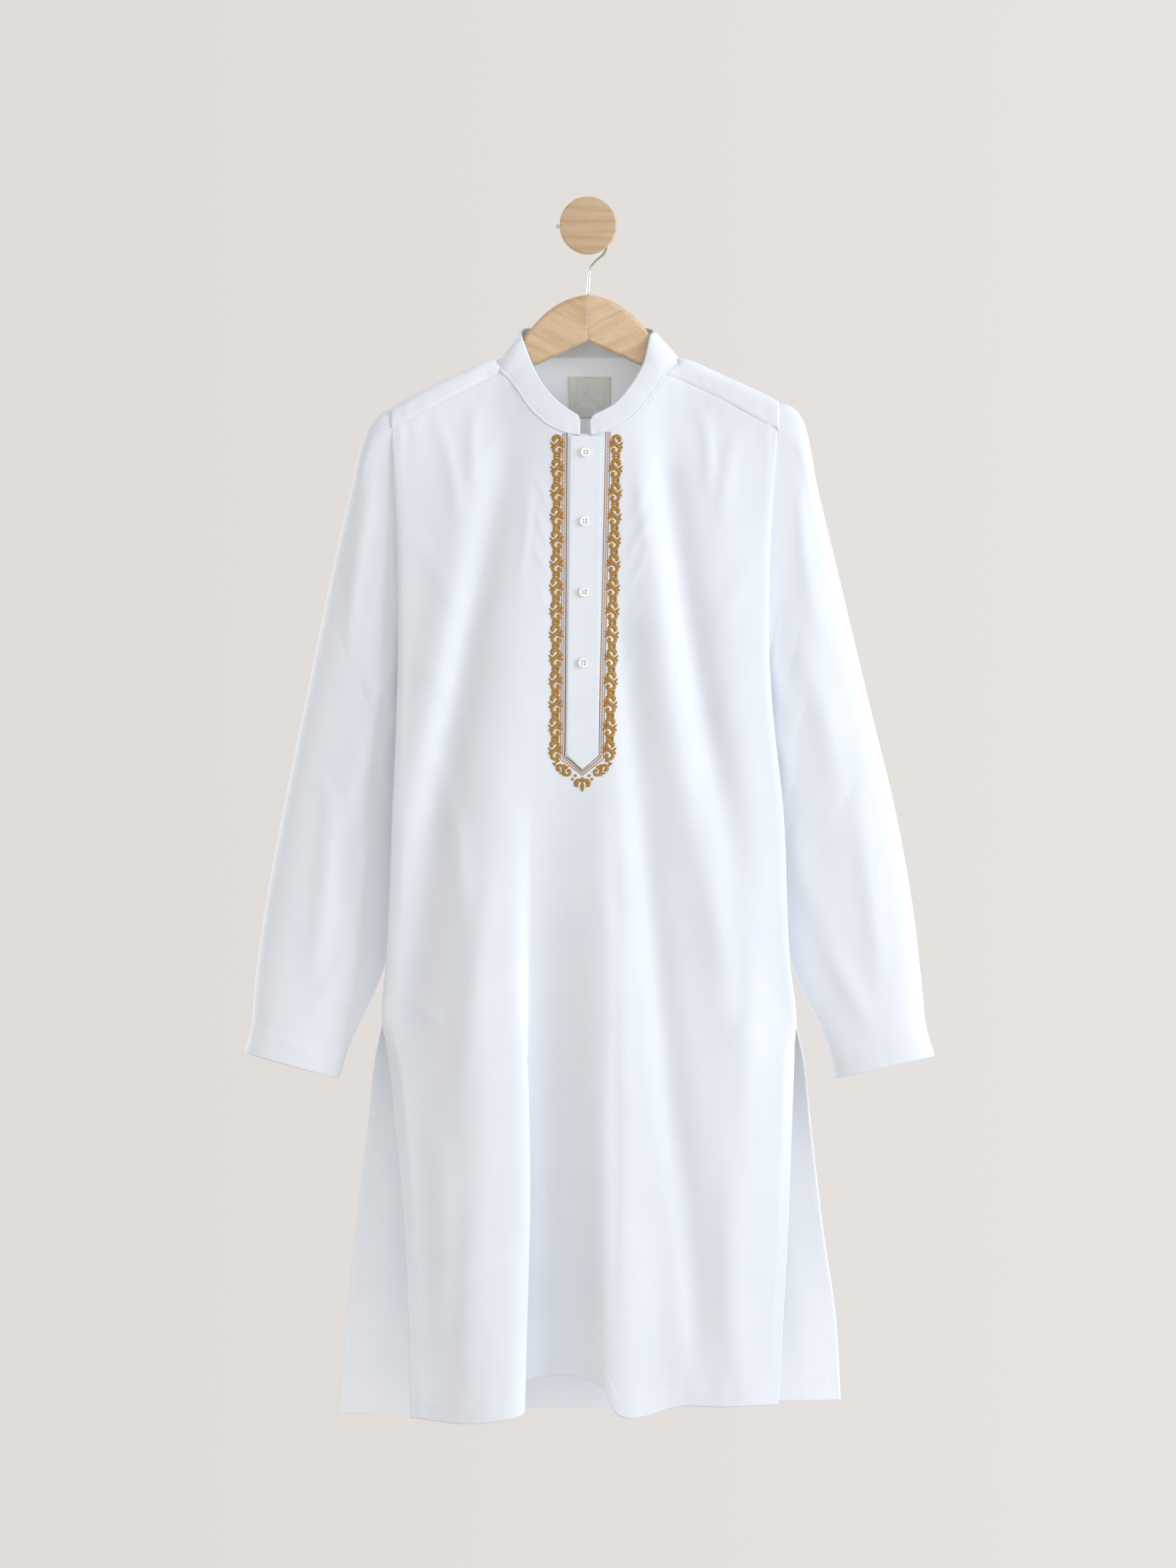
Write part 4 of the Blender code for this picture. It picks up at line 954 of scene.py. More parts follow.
# The collar band keeps only a trace of the painted light emission.
BAND_COTTON = CottonPoplin("two_layer_cotton_poplin", 0.82, painted_glow=0.01, steady=PRESSED)
GOLD = SatinStitch("gold_rayon_satin_stitch", 0.33, steady=(("Anisotropic", 0.4),))
COPPER = SatinStitch("copper_rayon_satin_stitch", 0.36, light="#CE8743", dark="#7E4A20")
RAIL = SatinStitch("copper_running_stitch", 0.42, light="#C68C4B", dark="#80532A")
# A dark thread laid as the left rail's inner line: a painted shadow of the placket's edge.
PAINTED_SHADOW_STITCH = SatinStitch("painted_shadow_running_stitch", 0.5, light="#7B5833", dark="#4C331B")
THREAD = SewingThread("white_sewing_thread", 0.6)
LABEL_THREAD = SewingThread("label_sewing_thread", 0.55, colour="#D9DDD8", shade="#B9BFB8")
LABEL = WovenLabel("damask_label_satin", 0.42, steady=(("Sheen Weight", 0.2),))
PEARL = PearlButton("cast_pearl_resin", 0.22, steady=(("Coat Weight", 0.5), ("Coat Roughness", 0.12)))
# The left arm's tones are darker than the right arm's: painted shade, as the light falls from the right.
BEECH_LEFT_PAINTED_SHADE = LacqueredBeech("lacquered_beech_left_arm_painted_shade", 0.42, light="#D4B997", dark="#C4A67E", turn=-27.0,
                            steady=LACQUER)
BEECH_RIGHT = LacqueredBeech("lacquered_beech_right_arm", 0.42, turn=27.0, steady=LACQUER)
BEECH_DISC = LacqueredBeech("lacquered_beech_disc", 0.45, light="#C8B08F", dark="#B99D79", steady=THIN_LACQUER)
NICKEL = NickelPlate("nickel_plated_wire", 0.25, 1.0)
FLOOR = StudioPaint("studio_floor_paint", 0.9)


# ---- sewing
@dataclass
class Stitching:
    """Lockstitch thread: one stitch is modelled, and its copies are laid along the seams of a piece."""

    name: str
    length: float = 2.3
    gap: float = 0.9
    width: float = 0.45
    height: float = 0.3
    sink: float = 0.02
    runs: list[tuple[Array, Array]] = field(default_factory=list)

    def one_stitch(self) -> tuple[Array, list[list[int]]]:
        """Model one stitch as a small plump bead, with its length along X and Z up."""
        alone()
        bpy.ops.mesh.primitive_uv_sphere_add(segments=6, ring_count=4, radius=0.5)
        bead = bpy.context.object
        edit_all(bead)
        bpy.ops.transform.resize(value=(self.length, self.width, self.height))
        close_edit()
        return taken_apart(bead)

    def build(self, finish: Finish = THREAD, wall: float = CLOTH_WALL) -> Piece:
        """Lay the stitches.

        Args:
            finish: the thread's material.
            wall: the thickness of the cloth.

        Returns:
            The stitches as one object.
        """
        bead, bead_faces = self.one_stitch()
        points, faces = [], []
        pitch = self.length + self.gap
        for line, ups in self.runs:
            lengths = lengths_of(line)
            count = max(1, int(lengths[-1] / pitch))
            for k in range(count):
                at = (k + 0.5) * lengths[-1] / count
                ends = [read_line(at + d, lengths, line) for d in (-1, 0, 1)]
                up = read_line(at, lengths, ups)
                along = unit(ends[2] - ends[0], 1e-6)
                up = unit(up - along * np.dot(up, along), 1e-6)
                turned = np.stack([along, np.cross(up, along), up])
                centre = ends[1] + up * (wall / 2 + self.sink)
                start = len(points) * len(bead)
                points.append(bead @ turned + centre)
                faces += [[start + v for v in face] for face in bead_faces]
        return mesh_piece(self.name, np.concatenate(points), faces, finish)


# ---- cloth pieces
def sewn(sheet: Sheet, stem: str, nodes: Sequence[str], sewing: Stitching, runs: Sequence[tuple[Array, Array]],
         finish: Finish = COTTON, wall: float = CLOTH_WALL, thread: Finish = THREAD, slot: str = "cotton",
         **cut: Any) -> Piece:
    """Make one cloth piece and lay the stitches on it.

    Args:
        sheet: its grid.
        stem: its name, without its side.
        nodes: the CAD nodes that it stands for.
        sewing: its thread.
        runs: its seams.
        finish: its cloth.
        wall: its thickness.
        thread: the thread's finish.
        slot: its slot, which is not used.
        cut: its flat size, how it is held and on what, which are not used.

    Returns:
        The piece.
    """
    piece = tell(sheet.build(stem, finish, wall), slot, *nodes)
    sewing.runs.extend(runs)
    stitches = tell(sewing.build(thread, wall), slot)
    return piece


@dataclass
class FrontPanel:
    """The front, from the yoke seams and the neckline down to its hem."""

    drape: Drape
    column_pitch: float = 3.1
    lap_pitch: float = 1.7
    rows: int = 236
    hem: Hem = Hem(20.0, Puckers(0.35, 21.0, 12.0))
    hem_groove: tuple[float, float] = (0.25, 1.2)
    yoke_puckers: Puckers = Puckers(0.6, 17.0, 18.0)
    yoke_lap: float = 1.0
    tuck: float = 1.0
    half_drops: tuple[float, float] = (200.0, 1180.0)
    slit_stitch: tuple[float, float, float] = (8.0, 0.64, 0.985)
    flat: tuple[float, float] = (0.50, 1.05)
    area: float = 0.47

    def columns(self) -> Array:
        """The columns' places along the top edge."""
        ends = (-184.0, NECK_LEFT, -50.0, -7.5, 1.5, NECK_RIGHT, 177.0)
        places = [np.array([ends[0]])]
        for start, end in zip(ends, ends[1:]):
            pitch = self.lap_pitch if start == NECK_LEFT else self.column_pitch
            count = max(2, int(round((end - start) / pitch)))
            places.append(np.linspace(start, end, count + 1)[1:])
        return np.concatenate(places)

    def sheet(self) -> Sheet:
        """The front as a grid, with its rolled sides, hem and the puckers below the yoke."""
        drape = self.drape
        x_top = self.columns()
        sign = np.where(x_top < 0, -1.0, 1.0)
        near_top, near_hem = (drape.half_width(x_top, drop) - SIDE_MARGIN for drop in self.half_drops)
        across = np.abs(x_top) / near_top
        x_hem = sign * across * near_hem
        top, hem = drape.top_drop(x_top) - self.yoke_lap, drape.hem.read("drop", x_hem, along="x")
        shares = np.concatenate([[0, 0.0012], np.linspace(0.004, 0.978, self.rows), np.linspace(0.982, 1, 10)])
        drop = top + (hem - top) * shares[:, None]
        x = sign * across * (drape.half_width(x_top, drop) - SIDE_MARGIN)
        y = drape.front_surface(x, drop)
        main = np.stack([x + drape.lapped(x, drop), y, -drop], axis=-1)
        stations = np.linspace(0.25, 3.0, 12)
        sides = {}
        for side in Side:
            at_top, at_hem = (float(drape.fold_x(side, drop)) for drop in self.half_drops)
            edge_top = float(drape.top_drop(at_top)) - self.yoke_lap
            edge_hem = float(drape.hem.read("drop", at_hem, along="x"))
            inner = main[:, 0] if side is Side.LEFT else main[:, -1]
            rows = []
            for share, start in zip(shares, inner):
                edge_drop = edge_top + (edge_hem - edge_top) * share
                points = drape.front_side(side, edge_drop, stations)
                reach = np.maximum.accumulate(np.abs(points[:, 0] - start[0]))
                points[:, 2] -= (-start[2] - edge_drop) * (1 - reach / reach[-1])
                rows.append(points)
            sides[side] = np.array(rows)
        grid = np.concatenate([sides[Side.LEFT][:, ::-1], main, sides[Side.RIGHT]], axis=1)
        return Sheet(self.finish_edges(grid))

    def finish_edges(self, grid: Array) -> Array:
        """Tuck the top under the yoke, pucker the seam and turn up the hem.

        Args:
            grid: the plain grid.

        Returns:
            The grid with its edges dressed.
        """
        x, drop = grid[..., 0], -grid[..., 2]
        from_top = drop - drop[0]
        to_hem = drop[-1] - drop
        under_band = np.where((x[0] > NECK_LEFT - 2) & (x[0] < NECK_RIGHT + 2), 0.25, 1.0)
        lift = self.yoke_puckers.lift(x, from_top) * under_band * step(from_top, *PUCKER_START)
        groove, width = self.hem_groove
        lift = lift + self.hem.band(to_hem) - groove * np.exp(-(((to_hem - self.hem.depth) / width) ** 2))
        lift = lift + self.hem.ripple(x, to_hem)
        grid = grid.copy()
        grid[..., 1] += self.tuck * (1 - step(from_top, *TUCK_END)) - lift
        return grid

    def build(self) -> Piece:
        """Make the front and its stitches."""
        sheet = self.sheet()
        runs = [sheet.run(Edge.LAST_ROW, self.hem.depth)]
        runs += [sheet.run(edge, *self.slit_stitch) for edge in (Edge.FIRST_COLUMN, Edge.LAST_COLUMN)]
        return sewn(sheet, "front_cloth", ["front"], Stitching("front_stitches"), runs, flat=self.flat, area=self.area)


@dataclass
class BackPanel:
    """The back, from the yoke's back seam down to its hem."""

    drape: Drape
    hem_drop: float = 1187.0
    columns: int = 125
    rows: int = 190
    hem: Hem = Hem(20.0, Puckers(0.3, 24.0, 12.0))
    right_hem_drop: float = 1173.0
    yoke_puckers: Puckers = Puckers(0.6, 15.0, 16.0)
    tuck: float = 0.8
    unevenness: float = 0.2
    slit_stitch: tuple[float, float, float] = (8.0, 0.62, 0.985)
    flat: tuple[float, float] = (0.52, 1.00)
    area: float = 0.45

    def sheet(self) -> Sheet:
        """The back as a grid."""
        drape, grid = self.drape, []
        drops = np.concatenate([[226.5, 228.5], np.linspace(232, 1160, self.rows), np.linspace(1165, self.hem_drop, 9)])
        even = np.linspace(-1, 1, self.columns)
        eased = np.sign(even) * (1 - (1 - np.abs(even)) ** 1.15)
        for drop in drops:
            left, right = (drape.side_edge(Panel.BACK, side, float(drop)) for side in Side)
            x = np.where(eased < 0, -eased * left[0], eased * right[0])
            edge_y = np.where(eased < 0, left[1], right[1])
            y = drape.back_y(eased, x, drop, edge_y)
            inside = 1 - step(np.abs(eased), 0.9, 1.0)
            y = y + (creased(drape.back_creases, x, drop) + uneven(x, drop, self.unevenness)) * inside
            seamed = step(drop, drape.underarm - 40, drape.underarm) * (1 - step(drop, drape.slit, drape.slit + 30))
            y = y + 0.9 * seamed * step(np.abs(eased), 0.985, 1.0)
            tilt = (self.right_hem_drop - self.hem_drop) * (x + 251) / 505 * step(drop, 1120, self.hem_drop)
            grid.append(np.stack([x, y, -(drop + tilt)], axis=-1))
        points = np.array(grid)
        to_hem, from_top = points[..., 2] - points[-1, :, 2], points[0, :, 2] - points[..., 2]
        points[..., 1] += self.hem.band(to_hem)
        points[..., 1] += self.hem.ripple(points[..., 0], to_hem)
        points[..., 1] += self.yoke_puckers.lift(points[..., 0], from_top) * step(from_top, *PUCKER_START)
        points[..., 1] -= self.tuck * (1 - step(from_top, *TUCK_END))
        return Sheet(points, outward=-1)

    def build(self) -> Piece:
        """Make the back and its stitches."""
        sheet = self.sheet()
        outside = [sheet.run(Edge.LAST_ROW, self.hem.depth)]
        outside += [sheet.run(edge, *self.slit_stitch) for edge in (Edge.FIRST_COLUMN, Edge.LAST_COLUMN)]
        runs = outside + [(points, -ups) for points, ups in outside]
        return sewn(sheet, "back_cloth", ["back"], Stitching("back_stitches"), runs, flat=self.flat, area=self.area)


@dataclass
class Yoke:
    """The yoke: the shoulders and the back of the neck, in one piece over the hanger."""

    drape: Drape
    columns: int = 170
    back_puckers: Puckers = Puckers(0.35, 15.0, 12.0)
    front_puckers: Puckers = Puckers(0.4, 17.0, 10.0)
    unevenness: float = 0.2
    seam_stitch: float = 2.4
    shoulder_x: tuple[float, ...] = (-195.8, -181, -163, -145, -128, -113, -101)
    right_x: tuple[float, ...] = (92, 107, 122, 140, 158, 175, 189.5)
    flat: tuple[float, float] = (0.42, 0.20)
    area: float = 0.062
    ridge: Table = Table("x drop", (
        (87, 131), (95, 131), (107, 134.5), (128, 144.5), (151, 155.5), (175, 168), (199, 182)))
    hanger: Table = Table("x thickness", (
        (0, 13), (67, 13), (77, 13.5), (88, 13), (100, 14), (136, 14.5), (175, 14.5), (197, 12), (204, 8.5)))
    neck: Table = Table("x y drop top_x top_y top_drop bulge", (
        (-89.0, -43.5, 134.5, -65.5, -45.5, 109, 1.0), (-87.5, -34.5, 130, -66.5, -37.5, 104, 1.0),
        (-79, -24.5, 128, -63, -27, 98.5, 2.2), (-60, -17, 126.5, -50, -20, 97, 1.0),
        (-30, -13, 126, -27, -15.5, 96, 0.4), (0, -12, 126, 0, -14.5, 96, 0.0), (30, -13, 126, 27, -15.5, 96, 0.4),
        (60, -17, 126.5, 50, -20, 97, 1.0), (79, -24.5, 128, 62, -27, 98.5, 2.2),
        (89.5, -34.5, 129, 65, -37.5, 103, 1.0), (88, -43.5, 134, 61.5, -45.5, 107, 1.0)))
    rise: Table = Table(
        "place share swell clear",
        ((0, 0, 0, 0), (1, 0.56, 1, 0.45), (2, 0.82, 0.6, 1), (3, 0.91, 0.35, 0.8), (4, 0.955, 0.2, 0.5),
         (5, 0.98, 0.1, 0.25), (6, 1, 0, 0)),
    )
    crest: Table = Table("part_of_half out down", ((1, 3.2, 8), (0.6, 0, 0.4), (-0.4, 0, 0), (-1, -1.8, 6)))
    fan: Table = Table("x_back shoulder_share", ((95, 0.85), (86, 0.45), (74, 0.12), (55, 0), (28, 0), (0, 0)))

    def back_foot(self, x: float) -> Array:
        """The place on the back seam at x."""
        drape = self.drape
        side = Side.LEFT if x < 0 else Side.RIGHT
        across = abs(x) / (197.0 if side is Side.LEFT else 191.0)
        edge_y = drape.side_edge(Panel.BACK, side, drape.back_seam)[1]
        return np.array((x, float(drape.back_y(across, x, drape.back_seam, edge_y)), -drape.back_seam))

    def shoulder_section(self, x_front: float, x_back: float, front_drop: float, x_ridge: float | None = None) -> Array:
        """Seven places from the yoke's back seam over the hanger to its front seam.

        Args:
            x_front: where the section meets the front seam.
            x_back: where it meets the back seam.
            front_drop: the front seam's drop.
            x_ridge: where it crosses the hanger, if not midway.

        Returns:
            The seven places.
        """
        x_ridge = (x_front + x_back) / 2 if x_ridge is None else x_ridge
        ridge = float(self.ridge.read("drop", abs(x_ridge), along="x"))
        if x_back > 0:
            ridge -= 2.0 * float(np.clip((abs(x_ridge) - 150) / 40, 0, 1))
        middle = self.drape.hanger_y(x_ridge)
        half = float(self.hanger.read("thickness", abs(x_ridge), along="x")) / 2
        foot = self.back_foot(x_back)
        return np.array([
            foot,
            (x_back, (foot[1] + middle + half) / 2 + 2.5, -(ridge + 38)),
            *((x_ridge, middle + half * part + out, -(ridge + down)) for part, out, down in self.crest.rows),
            (x_front, float(self.drape.front_y(x_front, front_drop)), -front_drop),
        ])

    def neck_seat(self, index: int) -> Array:
        """One place of the neck seam behind the front corners."""
        row = self.neck.rows[index]
        return np.array((row[0], row[1], -row[2]))

    def neck_section(self, base: Array, x_back: float) -> Array:
        """Seven places from the yoke's back seam up to the neck seam."""
        foot = self.back_foot(x_back)
        sign = -1.0 if x_back < 0 else 1.0
        corner = float(np.clip((abs(x_back) - 66) / 20, 0, 1))
        places = []
        for _, share, swell, clear in self.rise.rows:
            place = foot + (base - foot) * share
            place = place + np.array((sign * min(abs(x_back) / 60, 1) * 3.0, 2.0, 0.0)) * swell
            places.append(place + np.array((0.0, 3.5 * corner * clear, 0.0)))
        return np.array(places)

    def sections(self) -> list[Array]:
        """The yoke's sections, from the left armhole round the back of the neck to the right armhole."""
        top = self.drape.top_drop
        made = [self.shoulder_section(x, x, float(top(x))) for x in self.shoulder_x]
        made.append(self.shoulder_section(NECK_LEFT, -96.0, float(top(NECK_LEFT)), x_ridge=-92.5))
        last = len(self.neck.rows) - 1
        for index in range(last + 1):
            x_back, share = self.fan.rows[min(index, last - index)]
            x_back = -x_back if index <= last / 2 else x_back
            base = self.neck_seat(index)
            neck = self.neck_section(base, x_back)
            if share > 0:
                shoulder = self.shoulder_section(base[0], x_back, -base[2])
                shoulder[-1] = base
                neck = neck + (shoulder - neck) * share
                neck[-1] = base
            made.append(neck)
        made.append(self.shoulder_section(NECK_RIGHT, 96.0, float(top(NECK_RIGHT)), x_ridge=91.5))
        made += [self.shoulder_section(x, max(x, 101.0), float(top(x))) for x in self.right_x]
        return made

    @staticmethod
    def read_section(section: Array, stations: Array) -> Array:
        """Read a seven-place section at stations from 0 to 6."""
        return np.stack([smooth(stations, range(7), section[:, axis]) for axis in range(3)], axis=-1)

    def sheet(self) -> Sheet:
        """The yoke as a grid, from its back seam to its front and neck seams."""
        stations = np.concatenate([np.linspace(0, 2, 26), np.linspace(2.06, 5, 34), np.linspace(5.06, 6, 16)])
        coarse = np.array([self.read_section(s, stations) for s in self.sections()])
        at = np.linspace(0, len(coarse) - 1, self.columns)
        points = np.stack([
            [smooth(at, range(len(coarse)), coarse[:, row, axis]) for axis in range(3)] for row in range(len(stations))
        ]).transpose(0, 2, 1)
        sheet = Sheet(points, outward=-1)
        normals = sheet.normals()
        back = lengths_of(points[:, self.columns // 8])
        x = points[..., 0]
        from_back = back[:, None] + 0 * x
        to_front = (back[-1] - back)[:, None] + 0 * x
        ends = step(np.abs(at - at[-1] / 2), at[-1] / 2 - 8, at[-1] / 2 - 6.2)[None, :]
        lift = self.back_puckers.lift(x, from_back) * step(from_back, 1, 7)
        lift = lift + self.front_puckers.lift(x, to_front) * ends * step(to_front, 1, 7)
        lift = lift + uneven(x, from_back * 1.3, self.unevenness) * step(from_back, 0, 12) * step(to_front, 0, 12)
        lift = lift + 0.55 * (1 - step(to_front, 1.0, 2.2)) * ends + 0.4 * (1 - step(from_back, 0.8, 2.0))
        points = points + normals * lift[..., None]
        points[-1] += unit(points[-1] - points[-2]) * 1.3 * ends[0][:, None]
        points[0, :, 2] -= 1.4
        return Sheet(points, outward=-1)

    def build(self) -> Piece:
        """Make the yoke and its stitches."""
        sheet = self.sheet()
        shoulder = 7.0 / 26.0
        runs = [sheet.run(Edge.LAST_ROW, self.seam_stitch, *span) for span in ((0.0, shoulder), (1 - shoulder, 1.0))]
        runs.append(sheet.run(Edge.FIRST_ROW, self.seam_stitch))
        return sewn(sheet, "yoke_cloth", ["yoke"], Stitching("yoke_stitches"), runs, flat=self.flat, area=self.area,
                    rests_on=["hanger_arm_left", "hanger_arm_right"])


@dataclass
class CollarBand:
    """The standing band collar, open at the front, with rounded front corners."""

    drape: Drape
    yoke: Yoke
    columns: int = 200
    rows: int = 14
    wall: float = 1.7
    height: float = 25.0
    puckers: Puckers = Puckers(0.3, 17.0, 7.0)
    flat: tuple[float, float] = (0.44, 0.030)
    left: Table = Table(
        "x inward up back bulge",
        ((-87, 24, 27, 3, 1.5), (-80, 22, 20, 4, 1.5), (-70, 17.5, 20, 5, 1), (-56, 14.5, 21.5, 5, 0.8),
         (-36, 10.5, 22, 5, 0.7), (-20, 5, 21, 4.5, 0.4), (-12, 2.2, 19, 4, 0.2), (-8, 0.3, 13, 3, 0)),
    )
    right: Table = Table(
        "x inward up back bulge",
        ((78, 18, 31, 3, 1.5), (72, 16, 22.5, 4, 1.5), (62, 14.5, 19.5, 5, 1), (50, 12, 20.5, 5, 0.8),
         (36, 9, 21, 5, 0.7), (18, 4.5, 20.5, 4.5, 0.4), (8, 2.6, 19, 4, 0.2), (2, 0.3, 13, 3, 0)),
    )

    def stations(self) -> tuple[Array, Array, Array]:
        """The band's seam, its top edge and its swell, from its left front end round to its right."""
        seam, top, bulge = [], [], []
        for side, rows in ((-1, self.left.rows[::-1]), (0, self.yoke.neck.rows), (1, self.right.rows)):
            for row in rows:
                if side == 0:
                    x, y, drop, top_x, top_y, top_drop, swell = row
                    seam.append((x, y, -drop))
                    top.append((top_x, top_y, -top_drop))
                    bulge.append((math.copysign(swell, x), 0, swell))
                    continue
                x, inward, up, back, swell = row
                drop = float(self.drape.top_drop(x))
                y = float(self.drape.front_y(x, drop))
                seam.append((x, y, -drop))
                top.append((x - side * inward, y + back, -(drop - up)))
                bulge.append((side * swell * 0.7, -swell * 0.7, swell * 0.5))
        return np.array(seam), np.array(top), np.array(bulge) * 0.7

    def sheet(self) -> Sheet:
        """The band as a grid, with its foot lapped over the seam."""
        seam, top, bulge = self.stations()
        foot = seam - unit(top - seam) * 0.6
        across = np.linspace(0, 1, self.columns)
        rows = []
        for share in np.concatenate([[0, 0.03], np.linspace(0.08, 1, self.rows)]):
            line = foot + (top - foot) * share + bulge * 4 * share * (1 - share)
            rows.append(along_path(line, across))
        points = np.array(rows)[::-1]
        sheet = Sheet(points).turned_out()
        normals = sheet.normals()
        shares = np.linspace(0, 1, len(points))[:, None]
        length = lengths_of(points[-1])[None, :]
        lift = 0.55 * step(shares, 0.9, 0.97) + self.puckers.lift(length + 0 * shares, (1 - shares) * self.height)
        lift = lift - 0.2 * np.exp(-(((shares - 0.86) * self.height / 1.2) ** 2))
        return Sheet(points + normals * lift[..., None], outward=sheet.outward)

    def build(self) -> Piece:
        """Make the band and its stitches."""
        sheet = self.sheet()
        runs = [sheet.run(Edge.LAST_ROW, 2.6), sheet.run(Edge.FIRST_ROW, 2.2, 0.02, 0.98)]
        sewing = Stitching("collar_stitches", length=2.0)
        return sewn(sheet, "collar_cloth", ["collar"], sewing, runs, BAND_COTTON, self.wall, flat=self.flat)


@dataclass
class Sleeve:
    """One long sleeve: an open tube from the armhole to its hemmed cuff."""

    drape: Drape
    yoke: Yoke
    side: Side
    sides: int = 84
    rings: int = 150
    hem: Hem = Hem(28.0, Puckers(0.35, 19.0, 10.0))
    seam_puckers: Puckers = Puckers(0.8, 17.0, 22.0)
    length: float = 660.0
    half_round: float = 105.0
    rear_shift: float = 37.0
    seam_out: float = 2.0
    blend: float = 0.2
    flat: tuple[float, float] = (0.26, 0.67)
    creases: tuple[Crease, ...] = ()
    outer: dict[Side, Table] = field(default_factory=lambda: {
        Side.LEFT: Table("x drop", (
            (198, 183), (209, 190.5), (216.5, 199), (223.5, 214), (234, 254), (253.5, 338), (280, 465), (306, 592),
            (321.5, 677), (331.5, 748), (336.5, 800), (342.5, 822))),
        Side.RIGHT: Table("x drop", (
            (192, 177), (206.5, 184.5), (213.5, 194), (218, 208), (227, 254), (247.5, 338), (278, 465), (308.5, 592),
            (323.5, 677), (332, 748), (338, 800), (345.5, 825))),
    })
    inner: dict[Side, Table] = field(default_factory=lambda: {
        Side.LEFT: Table("x drop", ((175, 470), (182, 600), (193, 695), (204, 737), (242.5, 826), (249, 847.5))),
        Side.RIGHT: Table("x drop", ((168, 470), (180, 600), (192, 690), (203, 732), (243, 826), (248, 847.5))),
    })
    section: Table = Table(
        "share middle_y half_depth squareness narrowing",
        ((0.0, -49, 13, 0.45, 0.75), (0.06, -47.5, 14, 0.5, 0.65), (0.15, -43, 18, 0.7, 0.45),
         (0.3, -38, 21, 0.85, 0.25), (0.6, -36, 21.5, 0.85, 0.25), (1.0, -35, 18, 0.85, 0.25)),
    )

    def ring(self, share: float) -> Array:
        """One flattened ring, from its outer edge round its front to its inner edge and back."""
        sign = self.side.value
        ends = []
        for table in (self.outer[self.side], self.inner[self.side]):
            path = [(sign * x, 0.0, -drop) for x, drop in table.rows]
            ends.append(along_path(path, [share])[0])
        names = "middle_y half_depth squareness narrowing"
        middle, half, square, narrowing = self.section.read_all(names, share, along="share")
        angle = 2 * math.pi * np.arange(self.sides) / self.sides
        across = (1 - np.cos(angle)) / 2
        depth = np.sign(np.sin(angle)) * np.abs(np.sin(angle)) ** square * half
        ring = ends[0] + (ends[1] - ends[0]) * across[:, None]
        ring[:, 1] = middle - depth * (1 - narrowing * across)
        return ring

    def armhole(self) -> Array:
        """The armhole, from the top of the shoulder down its front to the underarm and up its back."""
        drape, side = self.drape, self.side
        x_end = self.yoke.shoulder_x[0] if side is Side.LEFT else self.yoke.right_x[-1]
        section = self.yoke.shoulder_section(x_end, x_end, float(drape.top_drop(x_end)))
        over = self.yoke.read_section(section, np.linspace(0, 6, 25))
        front, back = list(over[14:]), list(over[14::-1])
        for drop in np.linspace(215, drape.underarm, 14):
            x, y = drape.side_edge(Panel.FRONT, side, float(drop))
            front.append(np.array((x, y, -drop)))
        for drop in np.linspace(245, drape.underarm, 12):
            x, y = drape.side_edge(Panel.BACK, side, float(drop))
            back.append(np.array((x, y, -drop)))
        angles = np.linspace(0, math.pi, self.sides // 2 + 1)
        shares = (1 - np.cos(angles)) / 2 * 0.75 + angles / math.pi * 0.25
        down = along_path(front, shares, straight=True)
        up = along_path(back, shares, straight=True)[::-1]
        return np.concatenate([down, up[1:-1]])

    def sheet(self) -> Sheet:
        """The sleeve as a tube, with its top tucked into the armhole."""
        sign = self.side.value
        loop, first = self.armhole(), self.ring(0.0)
        loop[:, 1] += np.clip((-loop[:, 2] - 430) / 20, 0, 1)
        inward = unit(loop.mean(axis=0) - loop, 1.0)
        angle = 2 * math.pi * np.arange(self.sides) / self.sides
        across = (1 - np.cos(angle)) / 2
        shares = np.concatenate([[0, 0.003, 0.007], np.linspace(0.012, 0.955, self.rings), np.linspace(0.958, 1, 12)])
        grid = []
        for share in shares:
            fade = max(0.0, 1 - share / self.blend) ** 1.5
            lap = float(1 - step(share, 0.0, 0.012))
            seat = loop + np.array((sign * (self.seam_out - 5.0 * lap), 0, 0)) + inward * 1.3 * lap
            ring = self.ring(float(share)) + (seat - first) * fade
            a = across * self.half_round
            s = np.full(self.sides, share * self.length)
            face = np.where(np.sin(angle) >= 0, 1.0, -1.0)
            flat = np.abs(np.sin(angle)) ** 0.6
            bulk = creased(self.creases, a, s) * np.where(face > 0, 1.0, 0.75)
            shift = np.where(face > 0, 0.0, self.rear_shift)
            bulk = bulk + uneven(a * 1.2 + shift, s + shift * 3, 0.2) + self.hem.ripple(a + shift, self.length - s)
            bulk = bulk + self.seam_puckers.lift(loop[:, 2], s) * step(s, 2, 14)
            ring[:, 1] -= face * flat * (bulk * step(s, 4, 30) + self.hem.band(self.length - s))
            grid.append(ring)
        return Sheet(np.array(grid), closed=True)

    def build(self) -> Piece:
        """Make the sleeve and its stitches."""
        name = self.side.name.lower()
        sheet = self.sheet().turned_out()
        halves = [f"sleeve_{name}_front", f"sleeve_{name}_back"]
        runs = [sheet.run(Edge.LAST_ROW, self.hem.depth)]
        return sewn(sheet, f"sleeve_cloth_{name}", halves, Stitching(f"sleeve_stitches_{name}"), runs, flat=self.flat)


